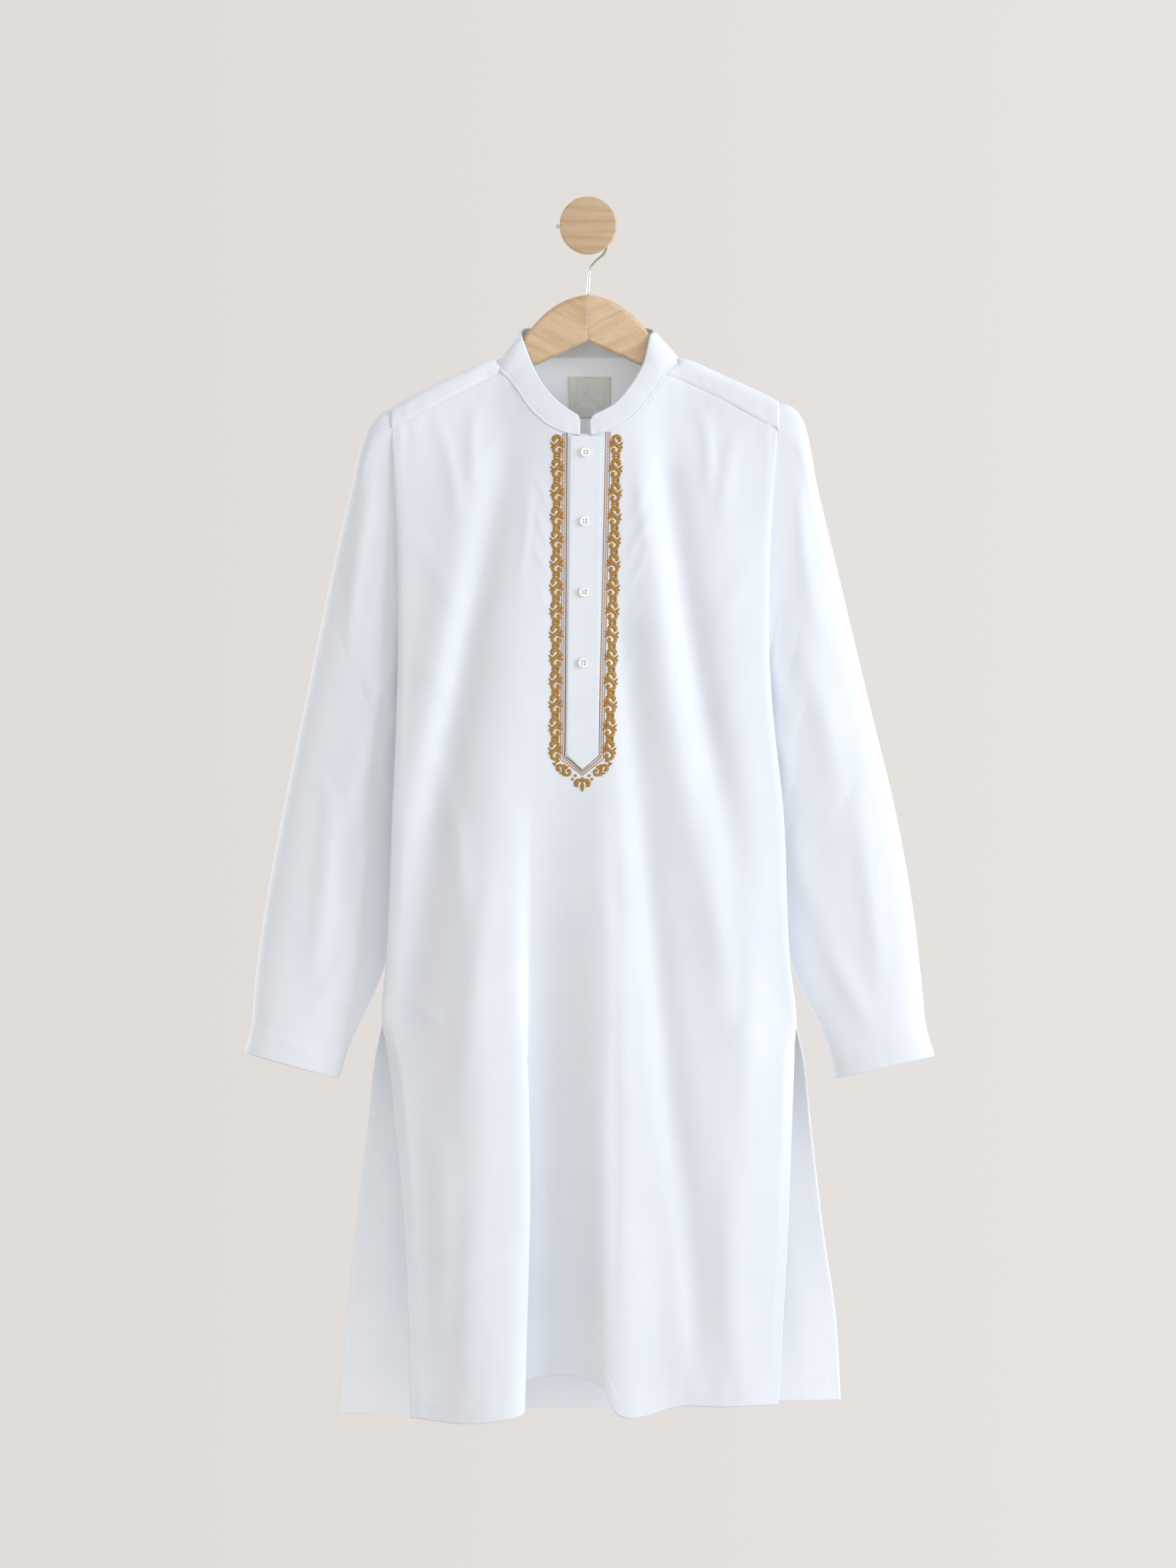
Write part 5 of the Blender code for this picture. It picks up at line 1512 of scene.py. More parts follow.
@dataclass
class Placket:
    """The placket strip down the front, topstitched along both sides, with its pointed end."""

    drape: Drape
    width: float = 31.5
    top: float = 209.5
    turn: float = 525.0
    tip: float = 541.0
    wall: float = 1.0
    lean: float = -0.0114
    top_x: float = -1.8
    puckers: Puckers = Puckers(0.18, 11.0, 4.0)
    flat: tuple[float, float] = (0.034, 0.336)

    def middle(self, drop: Any) -> Array:
        """The strip's middle line, which leans a little."""
        return self.top_x + self.lean * (np.asarray(drop, float) - self.top)

    def sheet(self) -> Sheet:
        """The strip as a grid on the front."""
        lift = CLOTH_WALL / 2 + 0.25 + self.wall / 2
        across = np.sin(np.linspace(-1, 1, 31) * math.pi / 2)
        rows = []
        for share in np.linspace(0, 1, 150):
            bottom = self.turn + (self.tip - self.turn) * (1 - np.abs(across))
            drop = self.top + (bottom - self.top) * share
            x = self.middle(drop) + across * self.width / 2
            inside = 1 - np.abs(across)
            raised = 0.25 * (1 - step(np.abs(across), 0.9, 1.0)) + self.puckers.lift(drop, inside * 15)
            rows.append(np.stack([x, self.drape.front_surface(x, drop) - lift - raised, -drop], axis=-1))
        return Sheet(np.array(rows))

    def build(self) -> Piece:
        """Make the strip and its two rows of topstitching."""
        sheet, runs = self.sheet(), []
        for edge in (Edge.FIRST_COLUMN, Edge.LAST_COLUMN):
            runs += [sheet.run(edge, 1.4, 0.01, 0.99), sheet.run(edge, 4.2, 0.01, 0.985)]
        sewing = Stitching("placket_stitches", length=1.9, gap=0.7, width=0.42)
        return sewn(sheet, "placket_cloth", ["placket"], sewing, runs, wall=self.wall, flat=self.flat,
                    held="stretched", rests_on=["front_cloth"])


@dataclass
class NeckLabel:
    """The blank label, sewn inside the back of the neck."""

    yoke: Yoke
    middle_x: float = 1.8
    width: float = 42.0
    top: float = 145.2
    height: float = 41.5
    wall: float = 0.8
    flat: tuple[float, float] = (0.043, 0.043)

    def sheet(self) -> Sheet:
        """The label as a grid on the inside of the yoke."""
        backs = []
        for k, x_back in enumerate((-28.0, 0.0, 28.0)):
            section = self.yoke.neck_section(self.yoke.neck_seat(4 + k), x_back)
            backs.append(self.yoke.read_section(section, np.linspace(0, 6, 40)))
        lift = CLOTH_WALL / 2 + 0.45 + self.wall / 2
        rows = []
        for drop in np.linspace(self.top, self.top + self.height, 36):
            places = [[float(np.interp(drop, -b[::-1, 2], b[::-1, axis])) for b in backs] for axis in (0, 1)]
            across = np.linspace(-1, 1, 34)
            x = self.middle_x + across * self.width / 2
            fold = 0.45 * (1 - step(1 - np.abs(across), 0.05, 0.12))
            end = min(drop - self.top, self.top + self.height - drop)
            sag = 0.25 * np.sin(x / 6.0 + drop / 9.0)
            y = np.interp(x, *places) - lift - fold * 0.6 - 0.3 * (1 - float(step(end, 0.8, 2.0))) - sag
            rows.append(np.stack([x, y, np.full(len(x), -drop)], axis=-1))
        return Sheet(np.array(rows))

    def build(self) -> Piece:
        """Make the label and the stitches round it."""
        sheet = self.sheet()
        runs = [sheet.run(edge, 1.6, 0.03, 0.97) for edge in Edge]
        sewing = Stitching("label_stitches", length=1.8, gap=0.8, width=0.4, height=0.35)
        return sewn(sheet, "label_cloth", ["label"], sewing, runs, LABEL, self.wall, LABEL_THREAD, "label_cloth",
                    flat=self.flat, held="stretched")


@dataclass
class Buttons:
    """Four four-hole buttons, each sewn on with crossed thread."""

    drape: Drape
    placket: Placket
    drops: tuple[float, ...] = (226.0, 294.5, 364.5, 434.5)
    diameter: float = 9.6
    thickness: float = 2.4
    rim: float = 1.5
    dish: float = 0.55
    hole: float = 1.3
    spacing: float = 2.6
    clear: float = 0.35

    def model(self) -> Piece:
        """Model one button, facing the front, with its back at the origin."""
        alone()
        radius = self.diameter / 2
        bpy.ops.mesh.primitive_cylinder_add(vertices=48, radius=radius, depth=self.thickness, end_fill_type="NGON")
        button = bpy.context.object
        self.face_only(button)
        bpy.ops.mesh.inset(thickness=self.rim, depth=0.0)
        bpy.ops.mesh.inset(thickness=0.5, depth=-self.dish)
        close_edit()
        for k in range(4):
            angle = math.pi / 4 + k * math.pi / 2
            reach = self.spacing / math.sqrt(2)
            place = (reach * math.cos(angle), reach * math.sin(angle), 0.0)
            alone()
            depth = self.thickness * 3
            bpy.ops.mesh.primitive_cylinder_add(vertices=14, radius=self.hole / 2, depth=depth, location=place)
            drill = bpy.context.object
            cut = button.modifiers.new("hole", "BOOLEAN")
            cut.operation, cut.object, cut.solver = "DIFFERENCE", drill, "EXACT"
            use_modifier(button, cut)
            bpy.data.objects.remove(drill, do_unlink=True)
        ease(button, 0.28, 3, 35)
        edit_all(button)
        bpy.ops.transform.translate(value=(0, 0, self.thickness / 2))
        bpy.ops.transform.rotate(value=math.pi / 2, orient_axis="X", center_override=(0, 0, 0))
        close_edit()
        return button

    @staticmethod
    def face_only(obj: Piece) -> None:
        """Open edit mode with only the faces that point along Z selected."""
        alone(obj)
        bpy.ops.object.mode_set(mode="EDIT")
        bpy.ops.mesh.select_mode(type="FACE")
        bpy.ops.mesh.select_all(action="DESELECT")
        shape = bmesh.from_edit_mesh(obj.data)
        for face in shape.faces:
            face.select_set(face.normal.z > 0.9)
        bmesh.update_edit_mesh(obj.data)

    def build(self, names: Sequence[str]) -> None:
        """Make the four buttons and their threads.

        Args:
            names: the CAD node that each button stands for.
        """
        local, faces = taken_apart(self.model())
        if local[:, 1].mean() > 0:
            local[:, 1:] *= -1
        sewing = Stitching("button_threads", width=0.55, height=0.55, length=3.2, gap=0.0, sink=0.0)
        for name, drop in zip(names, self.drops):
            x = float(self.placket.middle(drop)) - 0.5
            seat = float(self.drape.front_y(x, drop)) - CLOTH_WALL / 2 - self.clear - self.placket.wall - self.clear
            centre = np.array((x, seat, -drop))
            piece = mesh_piece(f"{name}_resin", local + centre, faces, PEARL)
            shade_by_angle(piece, 30)
            tell(piece, "pearl_button", name)
            top = seat - self.thickness + self.dish + 0.1
            half = self.spacing / 2
            for dx, dz in ((half, half), (half, -half)):
                line = np.array([(x - dx, top, -drop - dz), (x, top - 0.15, -drop), (x + dx, top, -drop + dz)])
                sewing.runs.append((line, np.tile((0.0, -1.0, 0.0), (3, 1))))
        tell(sewing.build(THREAD, wall=0.0), "cotton")


# ---- embroidery
@dataclass(frozen=True)
class Stroke:
    """One satin-stitched stroke: places across and up from the motif's middle, with half widths."""

    points: tuple[tuple[float, float, float], ...]
    accent: bool = False


@dataclass(frozen=True)
class Motif:
    """A motif made of strokes and dots, charted for the left border."""

    strokes: tuple[Stroke, ...]
    dots: tuple[tuple[float, float, float], ...] = ()


SCROLL = Motif(
    (
        Stroke((
            (-2.2, 2.6, 0.7), (-3.3, 3.9, 1.6), (-3.2, 5.6, 2.2), (-2.2, 7.2, 2.2), (-0.4, 8.3, 1.8),
            (1.5, 7.9, 1.6), (2.9, 6.2, 1.5), (3.0, 4.0, 1.5), (1.9, 1.9, 1.6), (0.1, 0.2, 1.8),
            (-1.9, -1.5, 1.7), (-3.3, -3.6, 1.5), (-3.5, -5.9, 1.5), (-2.2, -7.9, 1.5), (0.1, -8.9, 1.5),
            (2.3, -8.1, 1.6), (3.2, -6.3, 1.8), (2.3, -4.8, 1.7), (0.9, -4.9, 0.9),
        )),
        Stroke(((-2.6, -0.6, 0.5), (-4.3, 0.1, 1.0), (-5.7, 1.2, 0.9), (-6.8, 2.6, 0.3))),
        Stroke(((-3.3, -1.7, 0.5), (-4.8, -1.9, 0.9), (-6.0, -2.8, 0.7), (-6.5, -4.0, 0.2))),
        Stroke(((2.4, 0.9, 0.5), (4.0, 1.7, 1.1), (5.5, 2.2, 1.1), (6.6, 3.6, 0.3)), accent=True),
        Stroke(((1.6, -0.4, 0.7), (3.6, -0.9, 1.5), (5.4, -1.4, 1.4), (6.9, -2.9, 0.3))),
    ),
)
BOW = Motif(
    (
        Stroke(((-2.6, 0.9, 0.35), (0.0, 0.0, 0.55), (2.6, -0.9, 0.35))),
        Stroke(((-2.6, -0.9, 0.35), (0.0, 0.0, 0.55), (2.6, 0.9, 0.35)), accent=True),
    ),
    ((-2.7, 1.0, 1.15), (2.7, 1.0, 1.15), (-2.7, -1.0, 1.15), (2.7, -1.0, 1.15)),
)
PETAL = ((0.2, -0.6, 0.8), (2.3, 0.3, 1.5), (4.6, -0.3, 2.0), (6.0, -2.3, 2.2), (5.7, -4.6, 2.0), (4.0, -5.6, 0.9))
FLOWER = Motif(
    (
        *(Stroke(tuple((sign * x, up, half) for x, up, half in PETAL)) for sign in (-1, 1)),
        Stroke(((0.0, -1.6, 0.7), (0.0, -4.0, 1.5), (0.0, -7.2, 1.7), (0.0, -9.8, 1.0), (0.0, -11.0, 0.2))),
        Stroke(((0.0, 3.6, 0.4), (0.0, 2.2, 1.4), (0.0, 0.6, 1.2), (0.0, -0.8, 0.6))),
    ),
)


CROWN = Table("across height", ((-1, -0.15), (-0.85, 0.55), (-0.35, 0.95), (0.35, 0.95), (0.85, 0.55), (1, -0.15)))
THREADS: dict[str, Finish] = {"gold": GOLD, "copper": COPPER, "rail": RAIL, "bronze": PAINTED_SHADOW_STITCH}


@dataclass
class Embroidery:
    """The embroidered border round the placket: scrolls, bows, a beaded rail and a flower at the point."""

    drape: Drape
    placket: Placket
    scrolls: int = 14
    first_drop: float = 218.3
    pitch: float = 23.85
    closing: float = 0.046
    left_x: tuple[float, float] = (-30.4, -32.5)
    right_x: tuple[float, float] = (28.0, 21.2)
    rail_left: tuple[float, float] = (-22.8, -25.0)
    rail_right: tuple[float, float] = (19.9, 12.9)
    rail_width: float = 4.3
    rail_turn: float = 528.9
    rail_tip: float = 545.6
    tip_x: float = -5.6
    raised: float = 0.8
    fullness: float = 1.14
    rail_half: float = 0.46
    rail_raised: float = 0.55
    bead_pitch: float = 1.45
    bead_raised: float = 0.5
    bead: tuple[tuple[float, float], ...] = ((-1, 0.32), (0, 0.46), (1, 0.32))
    faces: dict[str, list[list[int]]] = field(default_factory=lambda: {kind: [] for kind in THREADS})
    uvs: dict[str, list[tuple[float, float]]] = field(default_factory=lambda: {kind: [] for kind in THREADS})
    parts: dict[str, list[Array]] = field(default_factory=lambda: {kind: [] for kind in THREADS})

    def on_front(self, x: Array, drop: Array, lift: Any) -> Array:
        """Places on the front cloth, or on the placket where it lies, with a lift."""
        strip, from_middle = self.placket, np.abs(x - self.placket.middle(drop))
        point = strip.turn + (strip.tip - strip.turn) * (1 - from_middle / (strip.width / 2))
        over = (1 - step(from_middle - strip.width / 2, -0.2, 0.9)) * (1 - step(drop - point, -0.3, 0.9))
        y = self.drape.front_surface(x, drop) - CLOTH_WALL / 2 - over * (strip.wall + 0.45)
        return np.stack([x, y - lift, -drop], axis=-1)

    def ribbon(self, kind: str, path: Array, raised: float | None = None) -> None:
        """Lay one satin-stitched ribbon: a crowned strip with closed ends.

        Args:
            kind: its thread.
            path: rows of x, drop and half width.
            raised: its height, if not the usual one.
        """
        raised = self.raised if raised is None else raised
        lengths = lengths_of(path[:, :2])
        steps = max(4, int(lengths[-1] / 0.9))
        at = np.linspace(0, lengths[-1], steps + 1)
        x, drop, half = (smooth(at, lengths, path[:, k]) for k in range(3))
        tangent = unit(np.stack([np.gradient(x), np.gradient(drop)], axis=-1))
        side = np.stack([-tangent[:, 1], tangent[:, 0]], axis=-1)
        rows = []
        for across, height in CROWN.rows:
            px, pd = x + side[:, 0] * half * across, drop + side[:, 1] * half * across
            rows.append(self.on_front(px, pd, height * raised * np.clip(half, 0.55, 1.25)))
        grid = np.array(rows).transpose(1, 0, 2)
        length, count = grid.shape[:2]
        start = sum(len(part) for part in self.parts[kind])
        self.parts[kind].append(grid.reshape(-1, 3))
        faces, r, c = quads(length, count, True)
        ends = [list(range(count))[::-1], list(range((length - 1) * count, length * count))]
        self.faces[kind] += [[start + v for v in face] for face in faces[:, [0, 3, 2, 1]].tolist() + ends]
        u = np.stack([at[r], at[r], at[r + 1], at[r + 1]], axis=-1)
        v = np.stack([c, c + 1, c + 1, c], axis=-1) / count * 2 * half[r][:, None]
        places = (np.stack([u, v], axis=-1).reshape(-1, 2) * MM).tolist()
        self.uvs[kind] += places + [(at[0] * MM, 0.0)] * count + [(at[-1] * MM, 0.0)] * count

    def dot(self, kind: str, x: float, drop: float, radius: float) -> None:
        """Lay one round dot."""
        spans = np.linspace(-1, 1, 7)
        half = radius * np.sqrt(np.maximum(1 - spans**2, 0.02))
        self.ribbon(kind, np.stack([x + spans * radius, np.full(7, drop), half], axis=-1))

    def motif(self, motif: Motif, x: float, drop: float, mirror: bool, turn: float = 0.0, size: float = 1.0) -> None:
        """Lay a motif.

        Args:
            motif: its chart.
            x: its middle across.
            drop: its middle down.
            mirror: for the right border.
            turn: its turn anticlockwise, in degrees.
            size: its scale.
        """
        sign = -1.0 if mirror else 1.0
        cos, sin = math.cos(math.radians(turn)) * size, math.sin(math.radians(turn)) * size

        def place(px: float, up: float) -> tuple[float, float]:
            """Turn and mirror one charted place."""
            return x + sign * (px * cos - up * sin), drop - (px * sin + up * cos)

        for stroke in motif.strokes:
            rows = [(*place(px, up), half * size * self.fullness) for px, up, half in stroke.points]
            self.ribbon("copper" if stroke.accent else "gold", np.array(rows))
        for px, up, radius in motif.dots:
            self.dot("gold", *place(px, up), radius * size * self.fullness)

    def border(self) -> None:
        """Both columns of scrolls and bows, down to the turn."""
        for index in range(self.scrolls):
            drop = self.first_drop + self.pitch * index - self.closing * index**2
            following = self.first_drop + self.pitch * (index + 1) - self.closing * (index + 1) ** 2
            share = index / (self.scrolls - 1)
            for ends, mirror in ((self.left_x, False), (self.right_x, True)):
                x = ends[0] + (ends[1] - ends[0]) * share
                self.motif(SCROLL, x, drop, mirror)
                if index < self.scrolls - 1:
                    self.motif(BOW, x, (drop + following) / 2, mirror)

    def point(self) -> None:
        """The turned scrolls, dots and flower round the placket's point."""
        for sign, x, mirror in ((-1, -23.6, False), (1, 12.5, True)):
            self.motif(BOW, x + sign * 7.8, 532.6, mirror, turn=48, size=0.95)
            self.motif(SCROLL, x + sign * 0.4, 540.2, mirror, turn=57, size=0.82)
            for dx, drop in ((6.8, 545.8), (9.6, 549.2)):
                self.dot("gold", self.tip_x + sign * dx, drop, 1.5)
        self.motif(FLOWER, self.tip_x, 550.6, False)

    def rail_line(self, ends: tuple[float, float], side: int, out: int) -> Array:
        """One of a rail's lines, from the neckline down to the tip.

        Args:
            ends: the rail's x at its top and its turn.
            side: the sign of its x.
            out: 1 for its outer line, 0 for its middle and -1 for its inner one.

        Returns:
            Rows of x and drop.
        """
        top = float(self.drape.top_drop(ends[0])) + 1.5
        tip, turn = self.rail_tip - (1 - out) * 2.6, self.rail_turn - (1 - out) * 1.3
        straight, slanted = np.linspace(0, 1, 60), np.linspace(0.25, 1, 4)
        x = ends[0] + self.rail_width / 2 * out * side + (ends[1] - ends[0]) * straight
        xs = np.concatenate([x, x[-1] + (self.tip_x - x[-1]) * slanted])
        return np.stack([xs, np.concatenate([top + (turn - top) * straight, turn + (tip - turn) * slanted])], axis=-1)

    def rails(self) -> None:
        """The two fine lines of each rail and the beads between them."""
        for ends, side in ((self.rail_left, -1), (self.rail_right, 1)):
            outer, middle, inner = (self.rail_line(ends, side, out) for out in (1, 0, -1))
            # On the left, the inner line is a painted shadow: dark thread along the placket's edge, on its shaded side.
            for line, kind in ((outer, "rail"), (inner, "bronze" if side < 0 else "rail")):
                half = np.full((len(line), 1), self.rail_half)
                self.ribbon(kind, np.concatenate([line, half], axis=1), raised=self.rail_raised)
            lengths = lengths_of(middle)
            for at in np.arange(self.bead_pitch / 2, lengths[-1], self.bead_pitch):
                place = read_line(at, lengths, middle)
                tx, td = unit(read_line(at + 1, lengths, middle) - place, 1e-6)
                slant = np.array((-td, tx)) * 1.05 + np.array((tx, td)) * 0.35
                bead = [(*(place + slant * share), half) for share, half in self.bead]
                self.ribbon("rail", np.array(bead), raised=self.bead_raised)

    def build(self) -> None:
        """Make the whole border, as one piece of each colour."""
        self.border()
        self.point()
        self.rails()
        for kind, finish in THREADS.items():
            piece = mesh_piece(f"embroidery_{kind}", np.concatenate(self.parts[kind]), self.faces[kind], finish)
            layer = piece.data.uv_layers.new(name="thread")
            layer.data.foreach_set("uv", np.array(self.uvs[kind], np.float32).reshape(-1))
            shape = bmesh.new()
            shape.from_mesh(piece.data)
            bmesh.ops.recalc_face_normals(shape, faces=shape.faces)
            shape.to_mesh(piece.data)
            shape.free()
            tell(piece, "cotton")


# ---- hanger and peg
def eased_copy(name: str, node: str, finish: Finish, levels: int, bevel: float) -> Piece:
    """Copy a rigid CAD node and ease its coarse facets and hard edges.

    Args:
        name: the new piece's name.
        node: the CAD node's name.
        finish: its material.
        levels: how often its faces are halved.
        bevel: how wide its eased edges are.

    Returns:
        The eased copy.
    """
    source = bpy.data.objects[node]
    obj = set_out(name, source.data.copy())
    obj.data.materials.clear()
    obj.data.materials.append(finish.material())
    edit_all(obj)
    bpy.ops.mesh.remove_doubles(threshold=0.00001)
    bpy.ops.mesh.tris_convert_to_quads(face_threshold=math.radians(30), shape_threshold=math.radians(60))
    close_edit()
    shape = bmesh.new()
    shape.from_mesh(obj.data)
    crease = shape.edges.layers.float.get("crease_edge") or shape.edges.layers.float.new("crease_edge")
    for edge in shape.edges:
        if len(edge.link_faces) == 2 and edge.calc_face_angle() > math.radians(28):
            edge[crease] = 1.0
    shape.to_mesh(obj.data)
    shape.free()
    if levels:
        finer = obj.modifiers.new("finer", "SUBSURF")
        finer.levels = finer.render_levels = levels
        use_modifier(obj, finer)
    ease(obj, bevel * MM, 3, 28)
    shade_by_angle(obj, 40)
    return obj


@dataclass
class Hanger:
    """The wooden hanger, of two arms mitred together, with its wire hook and capped end."""

    eased: float = 0.7
    levels: int = 2

    def build(self) -> None:
        """Make both arms, the hook and its cap."""
        for side, finish in ((Side.LEFT, BEECH_LEFT_PAINTED_SHADE), (Side.RIGHT, BEECH_RIGHT)):
            name = side.name.lower()
            arm = eased_copy(f"hanger_arm_{name}", f"hanger_{name}", finish, self.levels, self.eased)
            tell(arm, "beech", f"hanger_{name}")
        for node, levels, ease in (("hook", 1, 0.15), ("hook_tip", 1, 0.2)):
            tell(eased_copy(f"{node}_wire", node, NICKEL, levels, ease), "nickel", node)


@dataclass
class Peg:
    """The turned wall peg: a stem with its flat back on the wall, and the disc on its front."""

    stem: float = 18.0
    stem_length: float = 54.0
    disc: float = 56.5
    thickness: float = 12.0
    edge: float = 1.6
    gap: float = 0.3

    def turned(self, name: str, diameter: float, back: float, length: float, edge: float, node: str) -> Piece:
        """Turn one round part about Y, with an eased edge.

        Args:
            name: the piece's name.
            diameter: its diameter.
            back: the y of its back face.
            length: how far it reaches forward.
            edge: the radius of its eased edges.
            node: the CAD node that it stands for.

        Returns:
            The piece.
        """
        alone()
        bpy.ops.mesh.primitive_cylinder_add(vertices=96, radius=diameter / 2 * MM, depth=length * MM)
        part = bpy.context.object
        part.name = name
        part.data.name = name
        ease(part, edge * MM, 4, 40)
        edit_all(part)
        bpy.ops.transform.rotate(value=math.pi / 2, orient_axis="X", center_override=(0, 0, 0))
        bpy.ops.transform.translate(value=(0, (back - length / 2) * MM, 0))
        close_edit()
        shade_by_angle(part, 30)
        part.data.materials.append(BEECH_DISC.material())
        return tell(part, "beech", node)

    def build(self) -> None:
        """Make the stem and the disc."""
        self.turned("peg_stem_wood", self.stem, 0.0, self.stem_length, 0.6, "peg_stem")
        self.turned("peg_disc_wood", self.disc, -self.stem_length - self.gap, self.thickness, self.edge, "peg_disc")


# ---- studio
@dataclass(frozen=True)
class SoftBox:
    """A square studio light: where it stands, its width, its power, its colour and what it points at."""

    name: str
    place: tuple[float, float, float]
    width: float
    power: float
    colour: str
    target: tuple[float, float, float] = (0.0, 0.0, -0.6)


@dataclass
class Studio:
    """The camera, the lights, the surroundings and the floor."""

    distance: float = 4.0
    pivot: tuple[float, float, float] = (0.0, -0.05, -0.554)
    frame_height: float = 1.5595
    sensor: float = 36.0
    floor_drop: float = 1.75
    surroundings: tuple[str, str] = ("#DED9D5", "#E9E5E2")
    lights: tuple[SoftBox, ...] = (
        SoftBox("key", (4.2, -1.9, 0.6), 1.8, 144.0, "#EEF6FF"),
        SoftBox("fill", (-2.2, -4.2, 0.2), 2.4, 12.0, "#F6F9FF"),
        SoftBox("rear", (-4.0, 2.4, 0.5), 1.6, 76.0, "#F6F9FF"),
    )

    def camera(self) -> None:
        """Place the camera, level and square to the tunic."""
        data = bpy.data.cameras.new("camera")
        data.sensor_fit, data.sensor_width = "AUTO", self.sensor
        data.lens = self.sensor / self.frame_height * self.distance
        data.clip_end = 50.0
        camera = set_out("camera", data)
        camera.location = (self.pivot[0], self.pivot[1] - self.distance, self.pivot[2])
        camera.rotation_euler = (math.pi / 2, 0.0, 0.0)
        bpy.context.scene.camera = camera

    def light(self, box: SoftBox) -> None:
        """Hang one soft box."""
        data = bpy.data.lights.new(box.name, "AREA")
        data.shape, data.size, data.energy = "SQUARE", box.width, box.power
        data.color = linear(box.colour)[:3]
        lamp = set_out(box.name, data)
        lamp.location = box.place
        lamp.rotation_euler = (Vector(box.target) - Vector(box.place)).to_track_quat("-Z", "Y").to_euler()

    def floor(self) -> None:
        """Lay the pale floor."""
        alone()
        bpy.ops.mesh.primitive_plane_add(size=1.0)
        floor = bpy.context.object
        floor.name = "studio_floor"
        edit_all(floor)
        bpy.ops.transform.resize(value=(9.0, 7.6, 1.0))
        bpy.ops.transform.translate(value=(0.0, -2.0, -self.floor_drop))
        bpy.ops.mesh.subdivide(number_cuts=8)
        close_edit()
        floor.data.materials.append(FLOOR.material())

    def build(self) -> None:
        """Set up the whole studio."""
        scene = bpy.context.scene
        scene.view_settings.view_transform = "Standard"
        world = bpy.data.worlds.new("studio_air")
        scene.world = world
        world.use_nodes = True
        tree = world.node_tree
        x = add_node(tree, "SeparateXYZ", {"Vector": add_node(tree, "TexCoord", out="Generated")}, "X")
        across = add_node(tree, "MapRange", {"Value": x, "From Min": -0.18, "From Max": 0.2})
        air = add_node(tree, "ValToRGB", {"Fac": across}, stops=zip((0.0, 1.0), self.surroundings))
        lead(tree, tree.nodes["Background"], {"Color": air})
        self.camera()
        for box in self.lights:
            self.light(box)
        self.floor()


# ---- creases
FRONT_CREASES = creases(
    (-150, 190, -128, 300, 1.6, 9, 7, 4), (-110, 172, -112, 262, 1.3, 7, 6, -3),
    (112, 176, 118, 268, 1.6, 7, 6, 4), (150, 196, 132, 300, 1.5, 8, 9, -4),
    (-182, 300, -130, 390, 0.7, 10, 9, 6), (172, 320, 128, 410, 0.8, 9, 10, -5),
    (-178, 430, -126, 474, 0.6, 9, 10, 4), (168, 440, 126, 500, 0.7, 10, 9, -4),
    (-58, 250, -70, 360, 0.9, 6, 5, 3), (50, 240, 62, 330, 1.0, 5, 6, -3),
    (-56, 244, -37, 282, 0.5, 3.4, 3, 1), (-52, 284, -38, 318, 0.6, 3, 3.4, -1),
    (-55, 318, -37, 352, 0.5, 3.6, 3, 1), (-49, 356, -38, 386, 0.45, 3, 3, -1),
    (60, 252, 37, 300, 0.6, 3, 3.6, 2), (66, 284, 38, 336, 0.7, 3.4, 3, -2),
    (58, 322, 37, 366, 0.6, 3, 3.4, 1), (56, 366, 36, 400, 0.5, 3.4, 3, -1), (46, 418, 34, 448, 0.4, 3, 3, 1),
    (-150, 520, -120, 700, 1.7, 13, 10, 5), (-96, 640, -120, 860, 1.8, 14, 12, -4),
    (14, 640, 30, 860, 1.5, 13, 11, 5), (26, 560, 27, 1130, -1.1, 7, 6, 1),
    (120, 560, 142, 760, 1.8, 12, 14, -5), (160, 700, 150, 900, 1.6, 10, 12, 4),
    (-150, 880, -144, 1120, 1.8, 14, 12, 5), (-112, 960, -118, 1175, 1.6, 11, 12, -4),
    (80, 900, 92, 1160, 1.6, 13, 11, 4), (140, 930, 148, 1160, 1.9, 12, 14, -5),
    (-186, 760, -140, 800, 1.2, 7, 8, 3), (184, 770, 140, 812, 1.2, 8, 7, -3),
)
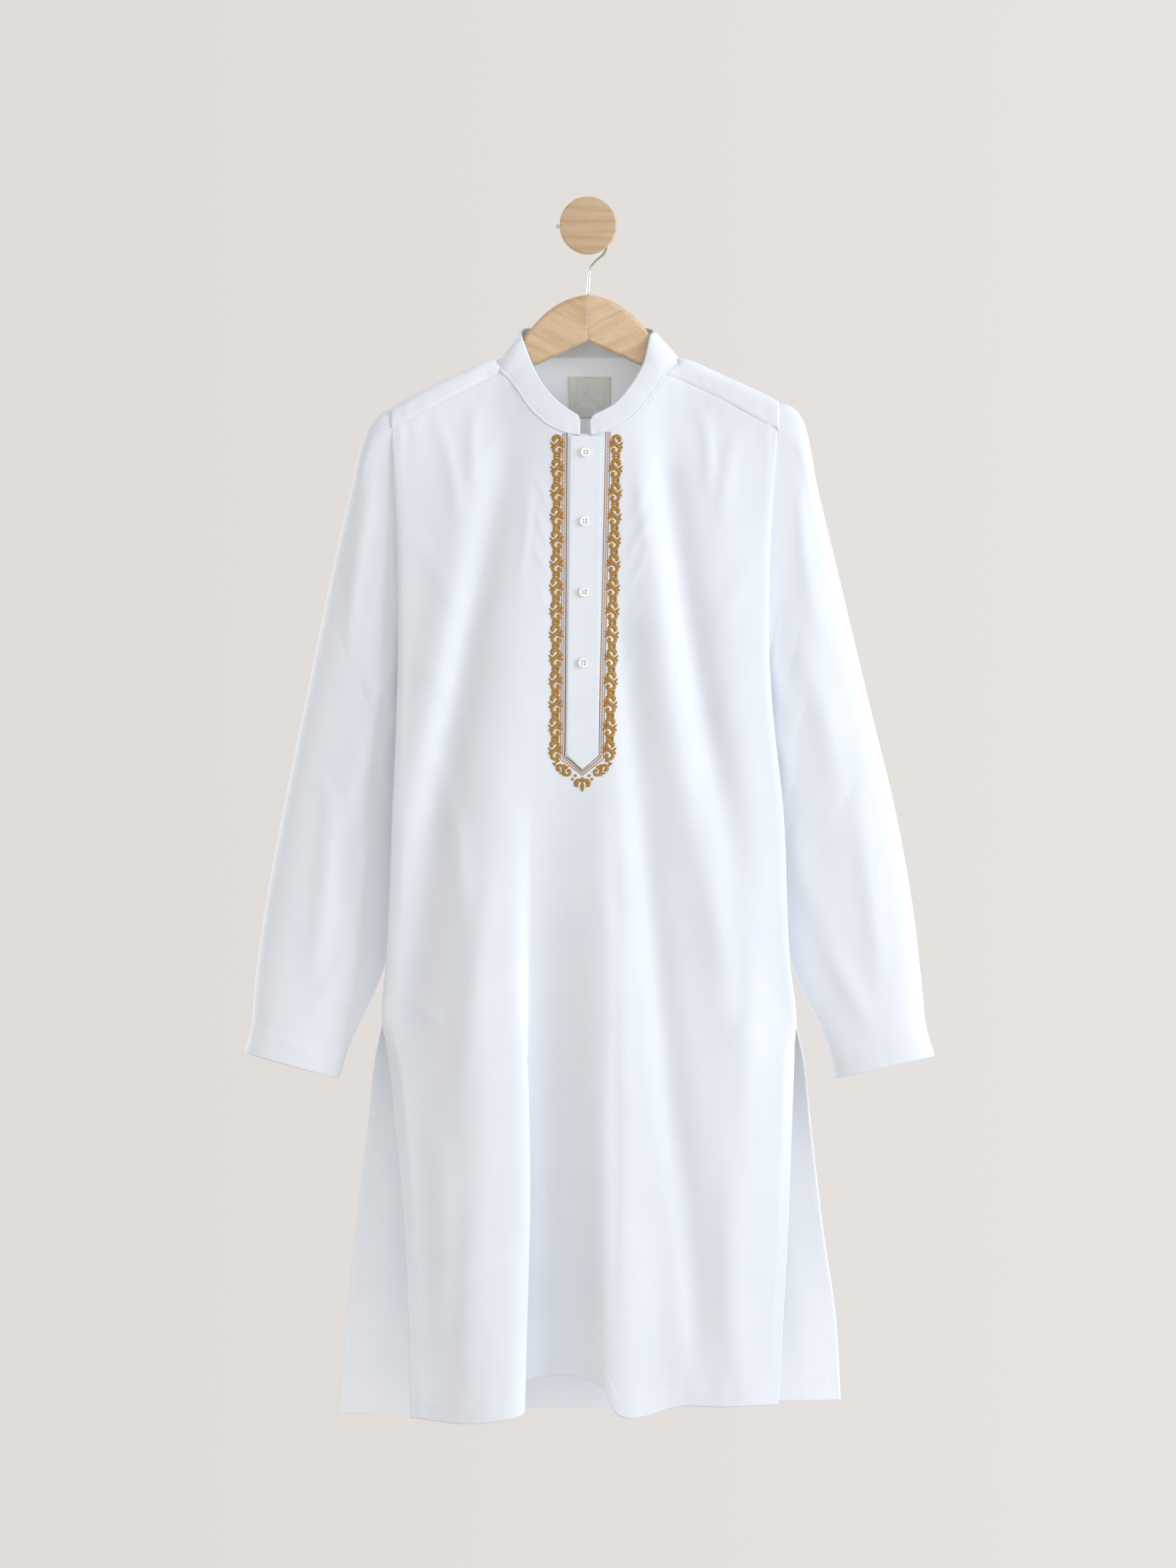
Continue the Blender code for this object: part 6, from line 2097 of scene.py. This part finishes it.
BACK_CREASES = creases(
    (-150, 240, -128, 380, 2.0, 12, 9, 5), (-60, 236, -66, 330, 1.6, 9, 8, -4),
    (22, 240, 12, 350, 1.8, 10, 9, 4), (96, 236, 110, 360, 1.9, 9, 12, -4),
    (160, 250, 130, 390, 2.0, 9, 12, -5), (-170, 440, -110, 520, 2.0, 10, 12, 6),
    (166, 450, 104, 540, 2.0, 12, 10, -6), (-128, 560, -146, 800, 2.4, 16, 13, 6),
    (-36, 520, -44, 760, 2.2, 14, 15, -5), (52, 560, 60, 800, 2.3, 15, 13, 6),
    (128, 600, 150, 820, 2.3, 13, 16, -5), (-176, 840, -184, 1120, 2.4, 15, 16, 6),
    (-60, 820, -52, 1150, 2.5, 17, 14, -6), (72, 860, 66, 1160, 2.3, 14, 17, 5),
    (176, 850, 190, 1140, 2.4, 16, 14, -6),
)
SLEEVE_CREASES = {
    Side.LEFT: creases(
        (84, 20, 50, 190, 3, 9, 8, 6), (96, 60, 74, 230, 2.4, 7, 8, -4), (60, 150, 40, 380, 2.6, 11, 9, 5),
        (88, 260, 66, 430, 2.4, 9, 10, -5), (34, 330, 52, 560, 2.6, 10, 9, 4),
        (80, 430, 58, 600, 2.2, 9, 9, 5), (20, 30, 26, 200, 1.9, 9, 8, -3),
    ),
    Side.RIGHT: creases(
        (86, 24, 58, 200, 2.8, 8, 9, 5), (98, 70, 80, 240, 2.4, 8, 7, -4), (52, 130, 36, 350, 2.6, 9, 11, -5),
        (84, 280, 70, 460, 2.4, 10, 9, 5), (30, 350, 44, 570, 2.6, 9, 10, -4),
        (76, 440, 60, 610, 2.3, 9, 9, 4), (22, 40, 24, 210, 1.9, 8, 9, 3),
    ),
}


def main() -> None:
    """Load the frame and dress every piece round it."""
    logging.basicConfig(level=logging.INFO, format="%(name)s: %(message)s")
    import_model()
    Studio().build()
    drape = Drape(front_creases=FRONT_CREASES, back_creases=BACK_CREASES)
    yoke = Yoke(drape)
    placket = Placket(drape)
    Hanger().build()
    Peg().build()
    yoke.build()
    BackPanel(drape).build()
    FrontPanel(drape).build()
    CollarBand(drape, yoke).build()
    for side in Side:
        Sleeve(drape, yoke, side, creases=SLEEVE_CREASES[side]).build()
    placket.build()
    NeckLabel(yoke).build()
    Buttons(drape, placket).build(("button_1", "button_2", "button_3", "button_4"))
    Embroidery(drape, placket).build()
    alone()
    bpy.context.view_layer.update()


if __name__ == "__main__":
    main()
